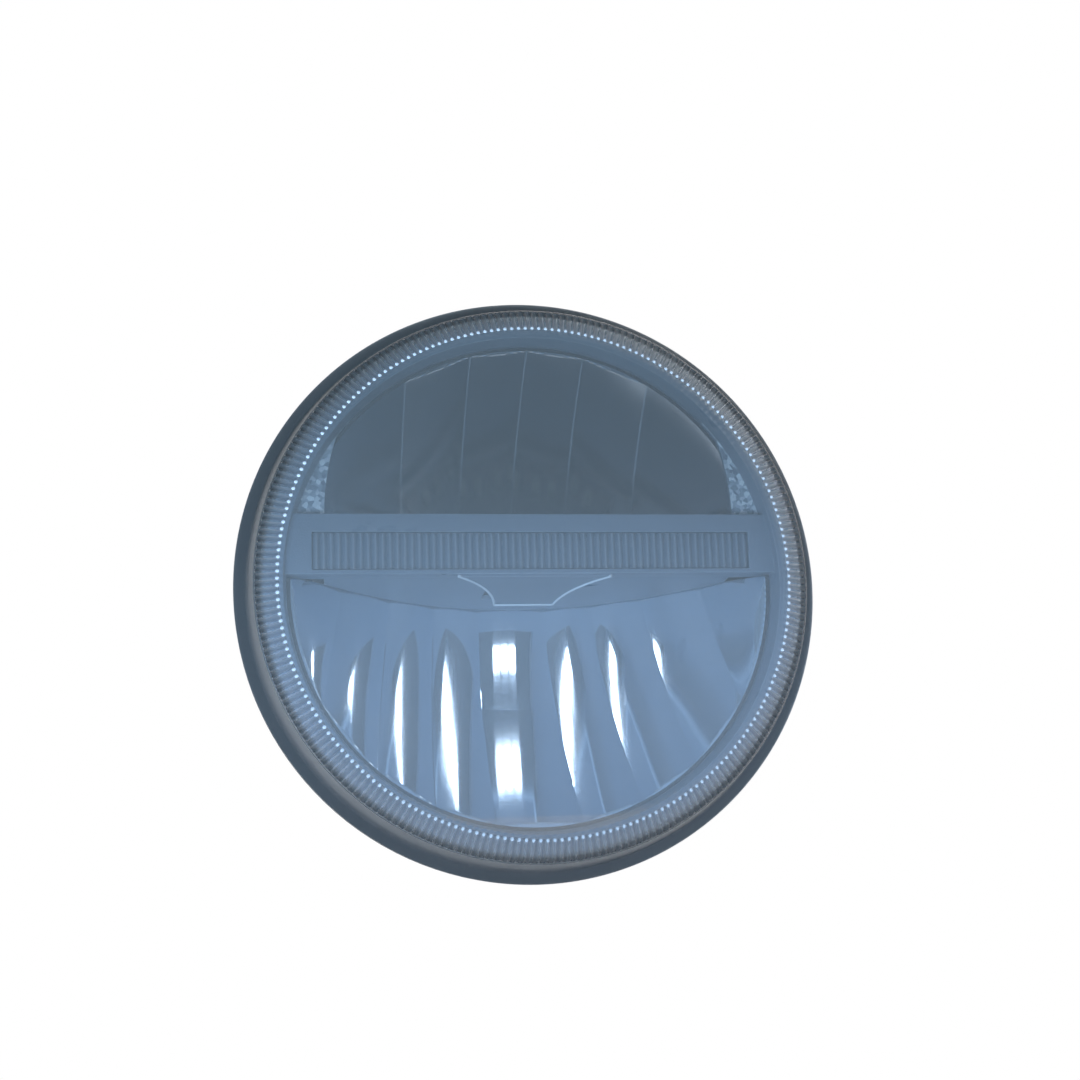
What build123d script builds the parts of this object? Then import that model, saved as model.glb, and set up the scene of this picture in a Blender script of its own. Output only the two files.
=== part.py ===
from build123d import *
import os
from math import cos, hypot, radians, sin, sqrt

# Round seven-inch motorcycle headlight: two half reflectors lit by diodes on a shelf, behind a fluted lens.
# Millimetres. The origin is the centre of the flange's seat, the light shines along -Y and +Z is up.

# Lens: domed face, fluted shoulder, tapered skirt and mounting rim
flange_r = 89.0
flange_land = 3.4
lens_rim = 2.2
skirt_draft = 2.4
skirt_height = 11.6
flute_band = 7.5
flute_rise = 4.1
flute_count = 232
flute_width = 1.7
flute_depth = 0.6
flute_margin = 0.5
flute_overcut = 1.15
dome_radius = 300.0
dome_inset = 1.1
lens_wall = 2.5
tongue_inset = 2.4
tongue_wall = 2.4
tongue_depth = 5.8

# Rear housing: flange, groove for the lens, tapered bowl and flat rear wall
housing_flange = 2.2
housing_wall = 2.4
groove_clear = 0.4
groove_wall = 1.8
groove_floor_wall = 2.0
seal_height = 2.0
seal_clear = 0.3
housing_depth = 54.0
rear_r = 66.0
rear_round = 4.0
rib_count = 16
rib_wall = 2.2
rib_height = 2.2
rib_lead = 2.0
rib_tail = 6.0
rib_ramp = 5.0
ledge_count = 8
ledge_wall = 3.0
ledge_reach = 2.4
ledge_clear = 0.3
ledge_length = 14.0
lug_count = 3
lug_width = 9.0
lug_length = 5.0
lug_rise = 2.0
root = 1.0

# Inner bezel: ring, bar, corners, roof and flared shade
bezel_gap = 0.8
bezel_wall = 1.8
bezel_band = 6.6
bezel_drop = 0.3
window_flare = 1.2
window_depth = 5.0
crest_width = 3.0
crest_slope = 1.8
bar_bottom = 2.3
bar_height = 17.9
bar_set = 2.2
corner_x = 62.2
corner_z = 46.0
corner_sag = 1.1
visor_half = 48.0
roof_angle = 5.0
roof_wall = 1.4
roof_half = 62.0
roof_gap = 2.5
roof_steps = 6
shade_angle = 11.0
shade_wall = 1.6
shade_drop = 1.0
shade_set = 2.47
shade_root = 23.0
shade_tip = 9.3
shade_sag = 3.2
led_window_half = 12.0
led_window_length = 11.0

# Ribbed position light in the bar
light_half = 66.0
light_height = 11.3
light_thick = 3.5
light_wall = 1.2
light_ledge = 1.2
light_clear = 0.3
light_rib_count = 61
light_rib_height = 0.8
position_board_gap = 3.9
position_board_height = 8.2
position_led_count = 10
position_led_margin = 7.0
position_led_size = 3.0

# Reflectors: paraboloid half bowls with upright columns
mouth_inset = 1.0
vertex_gap = 9.56
reflector_wall = 2.2
reflector_flange = 2.0
reflector_gap = 0.4
rim_lap = 1.4
rim_seat = 0.7
rim_clear = 0.6
upper_shares = (-0.518, -0.2417, 0.0, 0.2417, 0.518)
lower_shares = (-0.5594, -0.3522, -0.1464, 0.1464, 0.3522, 0.5594)
lower_fan = 0.22
pillow = 0.5
level_count = 5
tab_x = 30.5
tab_width = 9.0
tab_wall = 2.0
tab_reach = 12.0
tab_hole_set = 7.0
riser_lap = 0.8
riser_depth = 4.0

# Heat sink: finned round plate with a shelf for the two diode boards
shelf_half = 36.0
shelf_height = 12.0
shelf_plate = 4.0
shelf_web = 3.0
shelf_gap = 2.0
opening_clear_x = 2.5
opening_clear_z = 1.9
opening_round = 4.0
gasket_set = 1.1
gasket_width = 2.4
gasket_height = 1.2
plate_margin = 1.6
plate_wall = 5.0
ear_reach = 4.5
ear_r = 5.5
ear_angle = 45.0
fin_count = 11
fin_pitch = 7.6
fin_wall = 2.2
fin_height = 22.0
fin_inset = 2.0

# Diode boards
board_wall = 1.6
board_half = 22.0
board_length = 30.0
board_set = 2.0
board_lead = 5.5
led_size = 3.4
led_height = 1.0
low_led_x = (-12.5, -5.0, 5.0, 12.5)
high_led_count = 3
high_led_gap = 0.3
board_hole_x = 18.5
board_hole_set = 12.0

# Driver board behind the lower reflector
driver_half = 26.0
driver_top = -8.0
driver_height = 46.0
driver_gap = 3.5
driver_boss_r = 3.5
driver_hole_x = 22.0
driver_hole_set = 4.5
coil_r = 7.0
coil_bore = 3.0
coil_height = 6.0
coil_z = -32.0
capacitor_r = 4.0
capacitor_height = 10.0
capacitor_x = 12.0
capacitor_z = -42.5

# Rear connector
connector_z = -47.0
connector_half_x = 13.0
connector_half_z = 7.5
connector_wall = 1.9
connector_length = 18.6
connector_floor = 2.6
connector_flange_x = 19.8
connector_flange_z = 10.0
connector_flange_wall = 2.4
connector_seal_wall = 1.0
connector_plug_clear = 0.4
connector_plug_wall = 2.5
connector_hole_x = 16.2
connector_boss_wall = 2.6
terminal_count = 4
terminal_pitch = 5.0
terminal_width = 2.8
terminal_wall = 0.8
terminal_reach = 8.0
terminal_tail = 1.0
terminal_clear = 0.1
terminal_board_clear = 0.2

# Breather
vent_x = 40.0
vent_z = -38.0
vent_cap_r = 6.0
vent_cap_height = 8.0
vent_spigot_r = 3.2
vent_bore_r = 1.6
vent_spigot_height = 5.0
vent_clear = 0.3
vent_slot = 2.0

# Screws: large ones hold bezel and heat sink, small ones the rest
large_head_r = 3.6
large_head_height = 2.6
large_shank_r = 1.9
small_head_r = 2.7
small_head_height = 1.9
small_shank_r = 1.4
screw_clear = 0.15
socket_share = 0.55
boss_wall = 3.0
bezel_screw_set = 5.3
bezel_screw_length = 16.0
heat_boss_depth = 6.0
reflector_screw_length = 5.0
board_screw_length = 4.5
driver_screw_length = 4.4
connector_screw_length = 7.5

# Lens places
rim_front = -(housing_flange + lens_rim)
skirt_r = flange_r - flange_land
shoulder_r = skirt_r - skirt_draft
shoulder_y = rim_front - skirt_height
bead_r = shoulder_r - flute_band
bead_y = shoulder_y - flute_rise
tongue_out_r = skirt_r - tongue_inset
tongue_in_r = tongue_out_r - tongue_wall
tongue_end = tongue_depth - housing_flange
flute_slope = flute_rise / flute_band
flute_length = hypot(flute_band, flute_rise)
shoulder_thick = lens_wall * hypot(1, flute_slope)
lens_corner_y = shoulder_y - flute_slope * (shoulder_r - tongue_in_r) + shoulder_thick
dome_inner_r = bead_r - dome_inset
dome_inner_y = lens_corner_y - flute_slope * (tongue_in_r - dome_inner_r)

# Housing places
groove_in_r = tongue_in_r - groove_clear
groove_out_r = tongue_out_r + groove_clear
groove_floor = tongue_end + seal_height
groove_back = groove_floor + groove_floor_wall
body_r = groove_out_r + groove_wall
groove_inner_r = groove_in_r - groove_wall
rear_inner = housing_depth - housing_wall
bowl_draft = (body_r - rear_r) / (housing_depth - groove_back)
wall_across = housing_wall * hypot(1, bowl_draft)

# Bezel places
bezel_seat = -housing_flange
bezel_r = tongue_in_r - bezel_gap
window_r = bezel_r - bezel_band
crest_r = window_r + window_flare
crest_y = lens_corner_y + bezel_drop
crest_edge_r = crest_r + crest_width
crest_fall = crest_slope / (bezel_r - crest_edge_r)
crest_thick = bezel_wall * hypot(1, crest_fall)
lip_y = crest_y + window_depth
lip_back = lip_y + bezel_wall
bar_front = crest_y + bar_set
bar_top = bar_bottom + bar_height
bar_floor = bezel_seat - bezel_wall
light_bottom = bar_bottom + light_wall
light_top = light_bottom + light_height
light_z = light_bottom + light_height / 2
light_back = bar_front + light_thick
bezel_screw_x = light_half - light_ledge - bezel_screw_set
position_board_half = bezel_screw_x - large_head_r - position_board_gap
position_led_pitch = 2 * (position_board_half - position_led_margin) / (position_led_count - 1)

# Reflector places
mouth_r = window_r - mouth_inset
vertex_y = rear_inner - vertex_gap
reflector_depth = vertex_y - lip_back
bowl_rate = reflector_depth / mouth_r**2
focus_y = vertex_y - 1 / (4 * bowl_rate)
window_front = focus_y - shade_set
shade_length = window_front - bar_front
upper_columns = [share * mouth_r for share in upper_shares]
lower_columns = [share * mouth_r for share in lower_shares]
upper_edge = bar_top + reflector_gap
lower_edge = bar_bottom - reflector_gap
column_reach = mouth_r + rim_lap + root
rim_out_r = bezel_r - bezel_wall - rim_clear
rim_back = lip_back + reflector_flange

# Heat sink places
shelf_z = bar_bottom + bar_height / 2
shelf_top = shelf_z + shelf_height / 2
shelf_bottom = shelf_z - shelf_height / 2
board_front = focus_y - board_lead
shelf_front = board_front - board_set
visor_reach = shelf_front - shelf_gap - bezel_seat
board_hole_y = focus_y + board_hole_set
high_led_pitch = led_size + high_led_gap
high_led_x = [(i - (high_led_count - 1) / 2) * high_led_pitch for i in range(high_led_count)]
opening_half_x = shelf_half + opening_clear_x
opening_half_z = shelf_height / 2 + board_wall + led_height + opening_clear_z
gasket_in_r = hypot(opening_half_x, opening_half_z) + gasket_set
gasket_out_r = gasket_in_r + gasket_width
plate_r = gasket_out_r + plate_margin
plate_front = housing_depth + gasket_height
plate_back = plate_front + plate_wall
ear_x = (plate_r + ear_reach) * cos(radians(ear_angle))
ear_z = (plate_r + ear_reach) * sin(radians(ear_angle))
heat_holes = [(sx * ear_x, shelf_z + sz * ear_z) for sx in (-1, 1) for sz in (-1, 1)]

# Driver and connector places
driver_back = rear_inner - driver_gap
driver_front = driver_back - board_wall
driver_bottom = driver_top - driver_height
driver_rows = (driver_top - driver_hole_set, driver_bottom + driver_hole_set)
driver_holes = [(sx * driver_hole_x, z) for sx in (-1, 1) for z in driver_rows]
connector_front = housing_depth + connector_seal_wall
connector_mouth = connector_front + connector_flange_wall + connector_length
connector_cavity = connector_front + connector_flange_wall + connector_floor
connector_plug_x = connector_half_x - connector_wall
connector_plug_z = connector_half_z - connector_wall
connector_holes = [(-connector_hole_x, connector_z), (connector_hole_x, connector_z)]
terminal_x = [(i - (terminal_count - 1) / 2) * terminal_pitch for i in range(terminal_count)]
bezel_holes = [(-bezel_screw_x, light_z), (bezel_screw_x, light_z)]


def turned(*points):
    """A solid of revolution about the lamp's axis from an outline of (radius, depth) points."""
    return revolve(make_face(Polyline(*points, close=True)), Axis.Y)


def slab(outline, front, back):
    """An outline in X and Z, given thickness from one depth to another."""
    return extrude(Plane.XZ.offset(-front) * outline, amount=front - back)


def rod(radius, front, back, x=0.0, z=0.0):
    """A round bar along the lamp's axis."""
    return slab(Pos(x, z) * Circle(radius), front, back)


def block(x0, x1, y0, y1, z0, z1):
    """A box between two corners."""
    return Pos((x0 + x1) / 2, (y0 + y1) / 2, (z0 + z1) / 2) * Box(x1 - x0, y1 - y0, z1 - z0)


def around(solid, count, start=0.0):
    """Copies of a solid at even steps about the lamp's axis."""
    return [Rot(0, start + i * 360 / count, 0) * solid for i in range(count)]


def screw(head_r, head_height, shank_r, length):
    """A cylinder-head screw that points down -Z, with its seat at the origin and a hexagon socket."""
    head = Pos(0, 0, head_height / 2) * Cylinder(head_r, head_height)
    shank = Pos(0, 0, -length / 2) * Cylinder(shank_r, length)
    socket_depth = socket_share * head_height
    socket = extrude(Pos(0, 0, head_height) * RegularPolygon(socket_share * head_r, 6), amount=-socket_depth)
    return head + shank - socket


def large_screw(length):
    return screw(large_head_r, large_head_height, large_shank_r, length)


def small_screw(length):
    return screw(small_head_r, small_head_height, small_shank_r, length)


large_hole_r = large_shank_r + screw_clear
small_hole_r = small_shank_r + screw_clear
from_front = Rot(90, 0, 0)
from_rear = Rot(-90, 0, 0)
from_below = Rot(180, 0, 0)


def dome(radius, edge_r, edge_y):
    """The arc of a dome's section, from its top on the axis to its edge."""
    centre_y = edge_y + sqrt(radius**2 - edge_r**2)
    half_r = edge_r / 2
    half_y = centre_y - sqrt(radius**2 - half_r**2)
    return ThreePointArc((0, centre_y - radius), (half_r, half_y), (edge_r, edge_y))


def make_lens():
    outer_dome = dome(dome_radius, bead_r, bead_y)
    outer = outer_dome + Polyline(
        (bead_r, bead_y),
        (shoulder_r, shoulder_y),
        (skirt_r, rim_front),
        (flange_r, rim_front),
        (flange_r, -housing_flange),
        (tongue_out_r, -housing_flange),
        (tongue_out_r, tongue_end),
        (0, tongue_end),
        outer_dome @ 0,
    )
    inner_dome = dome(dome_radius - lens_wall, dome_inner_r, dome_inner_y)
    inner = inner_dome + Polyline(
        (dome_inner_r, dome_inner_y),
        (tongue_in_r, lens_corner_y),
        (tongue_in_r, tongue_end + root),
        (0, tongue_end + root),
        inner_dome @ 0,
    )
    shell = revolve(make_face(outer), Axis.Y) - revolve(make_face(inner), Axis.Y)
    along = Vector(flute_band, flute_rise, 0).normalized()
    across = Plane(Vector(bead_r, bead_y, 0) + along * flute_margin, x_dir=(0, 0, 1), z_dir=along)
    half = flute_width / 2 * flute_overcut
    lift = flute_depth * (flute_overcut - 1)
    vee = make_face(Polyline((-half, lift), (0, -flute_depth), (half, lift), close=True))
    flute = extrude(across * vee, amount=flute_length - 2 * flute_margin)
    return shell - around(flute, flute_count)


def make_lens_seal():
    ring = Circle(groove_out_r - seal_clear) - Circle(groove_in_r + seal_clear)
    return slab(ring, tongue_end, groove_floor)


def bowl_outer_r(y):
    """Outer radius of the housing's bowl at a depth."""
    return body_r - (y - groove_back) * bowl_draft


def make_rear_housing():
    shell = turned(
        (flange_r, -housing_flange),
        (flange_r, 0),
        (body_r, 0),
        (body_r, groove_back),
        (rear_r, housing_depth),
        (0, housing_depth),
        (0, rear_inner),
        (bowl_outer_r(rear_inner) - wall_across, rear_inner),
        (body_r - wall_across, groove_back),
        (groove_inner_r, groove_back),
        (groove_inner_r, -housing_flange),
        (groove_in_r, -housing_flange),
        (groove_in_r, groove_floor),
        (groove_out_r, groove_floor),
        (groove_out_r, -housing_flange),
    )
    rear_edge = shell.edges().filter_by(GeomType.CIRCLE).sort_by(Axis.Y)[-1]
    shell = fillet(rear_edge, rear_round)

    rib_start = groove_back + rib_lead
    rib_end = housing_depth - rib_tail
    rib = extrude(
        make_face(
            Polyline(
                (bowl_outer_r(rib_start) - root, rib_start),
                (bowl_outer_r(rib_start), rib_start),
                (bowl_outer_r(rib_start + rib_ramp) + rib_height, rib_start + rib_ramp),
                (bowl_outer_r(rib_end - rib_ramp) + rib_height, rib_end - rib_ramp),
                (bowl_outer_r(rib_end), rib_end),
                (bowl_outer_r(rib_end) - root, rib_end),
                close=True,
            )
        ),
        amount=rib_wall / 2,
        both=True,
    )
    ledge_out_r = bezel_r - bezel_wall - ledge_clear
    ledge = extrude(
        make_face(
            Polyline(
                (ledge_out_r - ledge_reach, rim_back),
                (ledge_out_r, rim_back),
                (ledge_out_r, bezel_seat),
                (groove_inner_r + root, bezel_seat),
                (groove_inner_r + root, groove_back),
                (groove_inner_r, groove_back),
                (ledge_out_r - ledge_reach, rim_back + ledge_length),
                close=True,
            )
        ),
        amount=ledge_wall / 2,
        both=True,
    )
    lug = block(-lug_width / 2, lug_width / 2, -root, lug_length, body_r - root, body_r + lug_rise)
    shell += around(rib, rib_count, 180 / rib_count)
    shell += around(ledge, ledge_count, 180 / ledge_count)
    shell += around(lug, lug_count)

    large_boss_r = large_shank_r + boss_wall
    shell += [rod(large_boss_r, bezel_seat, rear_inner + root, x, z) for x, z in bezel_holes]
    heat_boss_front = rear_inner - heat_boss_depth
    shell += [rod(large_boss_r, heat_boss_front, rear_inner + root, x, z) for x, z in heat_holes]
    shell += [rod(ear_r, housing_depth - root, plate_front, x, z) for x, z in heat_holes]
    shell += [rod(driver_boss_r, driver_back, rear_inner + root, x, z) for x, z in driver_holes]
    boss_front = rear_inner - connector_boss_wall
    shell += [rod(driver_boss_r, boss_front, rear_inner + root, x, z) for x, z in connector_holes]
    shell += rod(vent_spigot_r, housing_depth - root, housing_depth + vent_spigot_height, vent_x, vent_z)

    opening = Pos(0, shelf_z) * RectangleRounded(2 * opening_half_x, 2 * opening_half_z, opening_round)
    shell -= slab(opening, rear_inner - root, housing_depth + root)
    plug_half_x = connector_plug_x + connector_plug_clear
    plug_half_z = connector_plug_z + connector_plug_clear
    plug_hole = Pos(0, connector_z) * Rectangle(2 * plug_half_x, 2 * plug_half_z)
    shell -= slab(plug_hole, rear_inner - connector_boss_wall - root, housing_depth + root)
    shell -= [rod(large_hole_r, bezel_seat, bezel_seat + bezel_screw_length, x, z) for x, z in bezel_holes]
    shell -= [rod(large_hole_r, heat_boss_front, plate_front, x, z) for x, z in heat_holes]
    shell -= [rod(small_hole_r, driver_back, rear_inner, x, z) for x, z in driver_holes]
    shell -= [rod(small_hole_r, boss_front, housing_depth, x, z) for x, z in connector_holes]
    return shell - rod(vent_bore_r, rear_inner - root, housing_depth + vent_spigot_height, vent_x, vent_z)


def make_corner():
    """The flat piece that closes the right-hand corner of the upper window."""
    edge_r = window_r + window_flare / 2
    foot = sqrt(edge_r**2 - bar_top**2)
    head = sqrt(edge_r**2 - corner_z**2)
    middle_z = (bar_top + corner_z) / 2
    middle_x = (corner_x + head) / 2 + corner_sag
    edge = (
        Line((corner_x, bar_top - root), (foot, bar_top - root))
        + Line((foot, bar_top - root), (foot, bar_top))
        + ThreePointArc((foot, bar_top), (sqrt(edge_r**2 - middle_z**2), middle_z), (head, corner_z))
        + ThreePointArc((head, corner_z), (middle_x, middle_z), (corner_x, bar_top))
        + Line((corner_x, bar_top), (corner_x, bar_top - root))
    )
    return slab(make_face(edge), lip_y, lip_back)


def make_roof():
    """The sloping roof under the shelf, cut back to the lower reflector's curve, with the diodes' window."""
    tilt = radians(roof_angle)
    plane = Plane((0, bar_floor, bar_bottom), x_dir=(1, 0, 0), z_dir=(0, sin(tilt), cos(tilt)))
    across = [roof_half * (i / roof_steps * 2 - 1) for i in range(roof_steps + 1)]
    edge = [(x, bowl_depth(x, lower_edge) - roof_gap - bar_floor) for x in across]
    outline = Spline(*edge) + Polyline(edge[-1], (roof_half, 0), (-roof_half, 0), edge[0])
    roof = extrude(plane * make_face(outline), amount=roof_wall)
    window_back = window_front + led_window_length
    return roof - block(-led_window_half, led_window_half, window_front, window_back, -bar_top, bar_top)


def make_shade():
    """The flared tongue that hides the lower diodes from the front."""
    tilt = radians(shade_angle)
    plane = Plane((0, bar_front, bar_bottom - shade_drop), x_dir=(1, 0, 0), z_dir=(0, sin(tilt), cos(tilt)))
    reach = shade_length / cos(tilt)
    half_way = (shade_root + shade_tip) / 2 - shade_sag
    outline = Line((-shade_root, 0), (shade_root, 0))
    outline += ThreePointArc((shade_root, 0), (half_way, reach / 2), (shade_tip, reach))
    outline += Line((shade_tip, reach), (-shade_tip, reach))
    outline += ThreePointArc((-shade_tip, reach), (-half_way, reach / 2), (-shade_root, 0))
    return extrude(plane * make_face(outline), amount=shade_wall)


def make_inner_bezel():
    ring = turned(
        (window_r, lip_y),
        (crest_r, crest_y),
        (crest_edge_r, crest_y),
        (bezel_r, crest_y + crest_slope),
        (bezel_r, bezel_seat),
        (bezel_r - bezel_wall, bezel_seat),
        (bezel_r - bezel_wall, crest_y + crest_slope - crest_fall * bezel_wall + crest_thick),
        (crest_edge_r - (crest_thick - bezel_wall) / crest_fall, crest_y + bezel_wall),
        (crest_r + bezel_wall, crest_y + bezel_wall),
        (window_r + bezel_wall, lip_y),
        (window_r + bezel_wall, lip_back),
        (window_r, lip_back),
    )
    bar_z = (bar_bottom + bar_top) / 2
    bar = slab(Pos(0, bar_z) * Rectangle(2 * bezel_r, bar_height), bar_front, bezel_seat)
    bar &= rod(window_r + bezel_wall, bar_front, bezel_seat)
    visor_y = (bar_floor, bezel_seat + visor_reach)
    visor = block(-visor_half, visor_half, *visor_y, bar_top - bezel_wall, bar_top)
    corner = make_corner()
    bezel = ring + bar + visor + corner + mirror(corner, Plane.YZ) + make_roof() + make_shade()

    recess = Pos(0, light_z) * Rectangle(2 * light_half, light_height)
    inner_half = light_half - light_ledge
    inner_recess = Pos(0, light_z) * Rectangle(2 * inner_half, light_height - 2 * light_ledge)
    bezel -= slab(recess, bar_front - bar_set, light_back)
    bezel -= slab(inner_recess, light_back, bar_floor)
    core_bottom = light_top + light_wall
    core_top = bar_top - bezel_wall
    core = Pos(0, (core_bottom + core_top) / 2) * Rectangle(2 * corner_x, core_top - core_bottom)
    bezel -= slab(core, bar_front + bezel_wall, bezel_seat)
    return bezel - [rod(large_hole_r, bar_floor, bezel_seat, x, z) for x, z in bezel_holes]


def make_position_light():
    """A clear strip whose front is a row of upright vee ribs."""
    half = light_half - light_clear
    pitch = 2 * half / light_rib_count
    valley = bar_front + light_rib_height
    ribs = [(-half + i * pitch / 2, bar_front if i % 2 else valley) for i in range(2 * light_rib_count + 1)]
    outline = make_face(Polyline(*ribs, (half, light_back), (-half, light_back), close=True))
    bottom = light_bottom + light_clear
    return extrude(Plane.XY.offset(bottom) * outline, amount=light_height - 2 * light_clear)


def make_position_board():
    outline = Pos(0, light_z) * Rectangle(2 * position_board_half, position_board_height)
    return slab(outline, bar_floor - board_wall, bar_floor)


def make_position_leds():
    front = bar_floor - board_wall
    half = position_led_size / 2
    first = -(position_led_count - 1) / 2 * position_led_pitch
    led = block(-half, half, front - led_height, front, light_z - half, light_z + half)
    return Compound([Pos(first + i * position_led_pitch, 0, 0) * led for i in range(position_led_count)])


def bowl_depth(x, z):
    """Depth of the reflecting paraboloid at a place on the face."""
    return vertex_y - bowl_rate * (x * x + z * z)


def column_section(columns, z, fan):
    """A level cut through a reflector: a shallow arc for each column, and plain arcs at the sides."""
    spread = 1 + fan * abs(z - lower_edge) / mouth_r
    edges = [-column_reach, *[x * spread for x in columns], column_reach]
    ends = [(x, bowl_depth(x, z)) for x in edges]
    rise = (0, reflector_wall)
    outline = []
    for i, (start, end) in enumerate(zip(ends, ends[1:])):
        middle_x = (start[0] + end[0]) / 2
        is_side = i in (0, len(ends) - 2)
        chord_y = (start[1] + end[1]) / 2
        face_middle = Vector(middle_x, bowl_depth(middle_x, z) if is_side else chord_y - pillow)
        back_middle = Vector(middle_x, bowl_depth(middle_x, z)) + rise
        outline.append(ThreePointArc(start, face_middle, end))
        outline.append(ThreePointArc(Vector(*start) + rise, back_middle, Vector(*end) + rise))
    outline.append(Line(ends[0], Vector(*ends[0]) + rise))
    outline.append(Line(ends[-1], Vector(*ends[-1]) + rise))
    return Plane.XY.offset(z) * make_face(outline)


def tab_hole_y(edge):
    """Depth of the screws that hold a reflector's tabs to the shelf."""
    return bowl_depth(tab_x, edge) - tab_hole_set


def make_reflector(columns, edge, side, fan=0.0):
    """A half bowl from its edge beside the shelf out to its rim; side is 1 for the upper one, else -1."""
    far = side * column_reach
    levels = [edge + (far - edge) * i / (level_count - 1) for i in range(level_count)]
    bowl = loft([column_section(columns, z, fan) for z in levels])
    bowl &= rod(mouth_r + rim_lap, lip_back, vertex_y + reflector_wall + root)
    rim = slab(Circle(rim_out_r) - Circle(mouth_r + rim_seat), lip_back, rim_back)
    outside = side * rim_out_r + side * root
    rim &= block(-rim_out_r, rim_out_r, lip_back, rim_back, min(edge, outside), max(edge, outside))
    bowl += rim
    seat = shelf_top if side > 0 else shelf_bottom
    wall_y = bowl_depth(tab_x, edge)
    tab_z = sorted((seat, seat + side * tab_wall))
    riser_z = sorted((seat, edge + side * riser_lap))
    tab = block(-tab_width / 2, tab_width / 2, wall_y - tab_reach, wall_y + riser_depth, *tab_z)
    tab += block(-tab_width / 2, tab_width / 2, wall_y - root, wall_y + riser_depth, *riser_z)
    tab -= Pos(0, tab_hole_y(edge), seat) * Cylinder(small_hole_r, 2 * (tab_wall + root))
    return bowl + [Pos(x, 0, 0) * tab for x in (-tab_x, tab_x)]


def make_heat_sink():
    ears = [Pos(x, z) * Circle(ear_r) for x, z in heat_holes]
    plate = slab(Pos(0, shelf_z) * Circle(plate_r) + ears, plate_front, plate_back)
    first = -(fin_count - 1) / 2 * fin_pitch
    fin_y = (plate_back - root, plate_back + fin_height)
    fin_z = (shelf_z - plate_r, shelf_z + plate_r)
    fin = block(-fin_wall / 2, fin_wall / 2, *fin_y, *fin_z)
    fins = [Pos(first + i * fin_pitch, 0, 0) * fin for i in range(fin_count)]
    envelope = rod(plate_r - fin_inset, *fin_y, 0, shelf_z)
    shelf = block(-shelf_half, shelf_half, shelf_front, plate_front + root, shelf_bottom, shelf_top)
    bay = shelf_half - 3 * shelf_web / 2
    bay_z = (shelf_bottom + shelf_plate, shelf_top - shelf_plate)
    shelf -= block(shelf_web / 2, shelf_web / 2 + bay, shelf_front, plate_front, *bay_z)
    shelf -= block(-shelf_web / 2 - bay, -shelf_web / 2, shelf_front, plate_front, *bay_z)
    sink = plate + shelf + [envelope & fin for fin in fins]
    sink -= [rod(large_hole_r, plate_front, plate_back, x, z) for x, z in heat_holes]
    drill = Cylinder(small_hole_r, 2 * (shelf_height + root))
    tab_drill = Cylinder(small_hole_r, 2 * shelf_plate)
    for side in (-1, 1):
        sink -= Pos(side * board_hole_x, board_hole_y, shelf_z) * drill
        sink -= Pos(side * tab_x, tab_hole_y(upper_edge), shelf_top) * tab_drill
        sink -= Pos(side * tab_x, tab_hole_y(lower_edge), shelf_bottom) * tab_drill
    return sink


def make_heat_sink_gasket():
    outline = Circle(gasket_out_r) - Circle(gasket_in_r)
    return slab(Pos(0, shelf_z) * outline, housing_depth, plate_front)


def make_board(bottom):
    """A diode board on the shelf, with holes for its two screws."""
    board_y = (board_front, board_front + board_length)
    board = block(-board_half, board_half, *board_y, bottom, bottom + board_wall)
    for x in (-board_hole_x, board_hole_x):
        board -= Pos(x, board_hole_y, bottom + board_wall / 2) * Cylinder(small_hole_r, 2 * board_wall)
    return board


def make_leds(centres, bottom):
    half = led_size / 2
    led = block(-half, half, focus_y - half, focus_y + half, bottom, bottom + led_height)
    return Compound([Pos(x, 0, 0) * led for x in centres])


def make_driver_board():
    outline = Pos(0, (driver_top + driver_bottom) / 2) * Rectangle(2 * driver_half, driver_height)
    outline -= [Pos(x, z) * Circle(small_hole_r) for x, z in driver_holes]
    slot_width = terminal_width + 2 * terminal_board_clear
    slot_height = terminal_wall + 2 * terminal_board_clear
    outline -= [Pos(x, connector_z) * Rectangle(slot_width, slot_height) for x in terminal_x]
    return slab(outline, driver_front, driver_back)


def make_driver_coil():
    ring = Pos(0, coil_z) * (Circle(coil_r) - Circle(coil_bore))
    return slab(ring, driver_front - coil_height, driver_front)


def make_driver_capacitors():
    front = driver_front - capacitor_height
    places = (-capacitor_x, capacitor_x)
    return Compound([rod(capacitor_r, front, driver_front, x, capacitor_z) for x in places])


def make_connector_socket():
    middle = Pos(0, connector_z)
    flange_back = connector_front + connector_flange_wall
    socket = slab(
        middle * RectangleRounded(2 * connector_flange_x, 2 * connector_flange_z, connector_wall),
        connector_front,
        flange_back,
    )
    shroud = RectangleRounded(2 * connector_half_x, 2 * connector_half_z, connector_wall)
    socket += slab(middle * shroud, flange_back - root, connector_mouth)
    plug = middle * Rectangle(2 * connector_plug_x, 2 * connector_plug_z)
    socket += slab(plug, rear_inner - connector_plug_wall, connector_front + root)
    socket -= slab(plug, connector_cavity, connector_mouth)
    slot = Rectangle(terminal_width + 2 * terminal_clear, terminal_wall + 2 * terminal_clear)
    for x in terminal_x:
        socket -= slab(Pos(x, connector_z) * slot, rear_inner - connector_plug_wall, connector_cavity)
    return socket - [rod(small_hole_r, connector_front, flange_back, x, z) for x, z in connector_holes]


def make_connector_seal():
    plug_half_x = connector_plug_x + connector_plug_clear
    plug_half_z = connector_plug_z + connector_plug_clear
    outline = RectangleRounded(2 * connector_flange_x, 2 * connector_flange_z, connector_wall)
    outline = Pos(0, connector_z) * (outline - Rectangle(2 * plug_half_x, 2 * plug_half_z))
    outline -= [Pos(x, z) * Circle(small_hole_r) for x, z in connector_holes]
    return slab(outline, housing_depth, connector_front)


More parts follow.
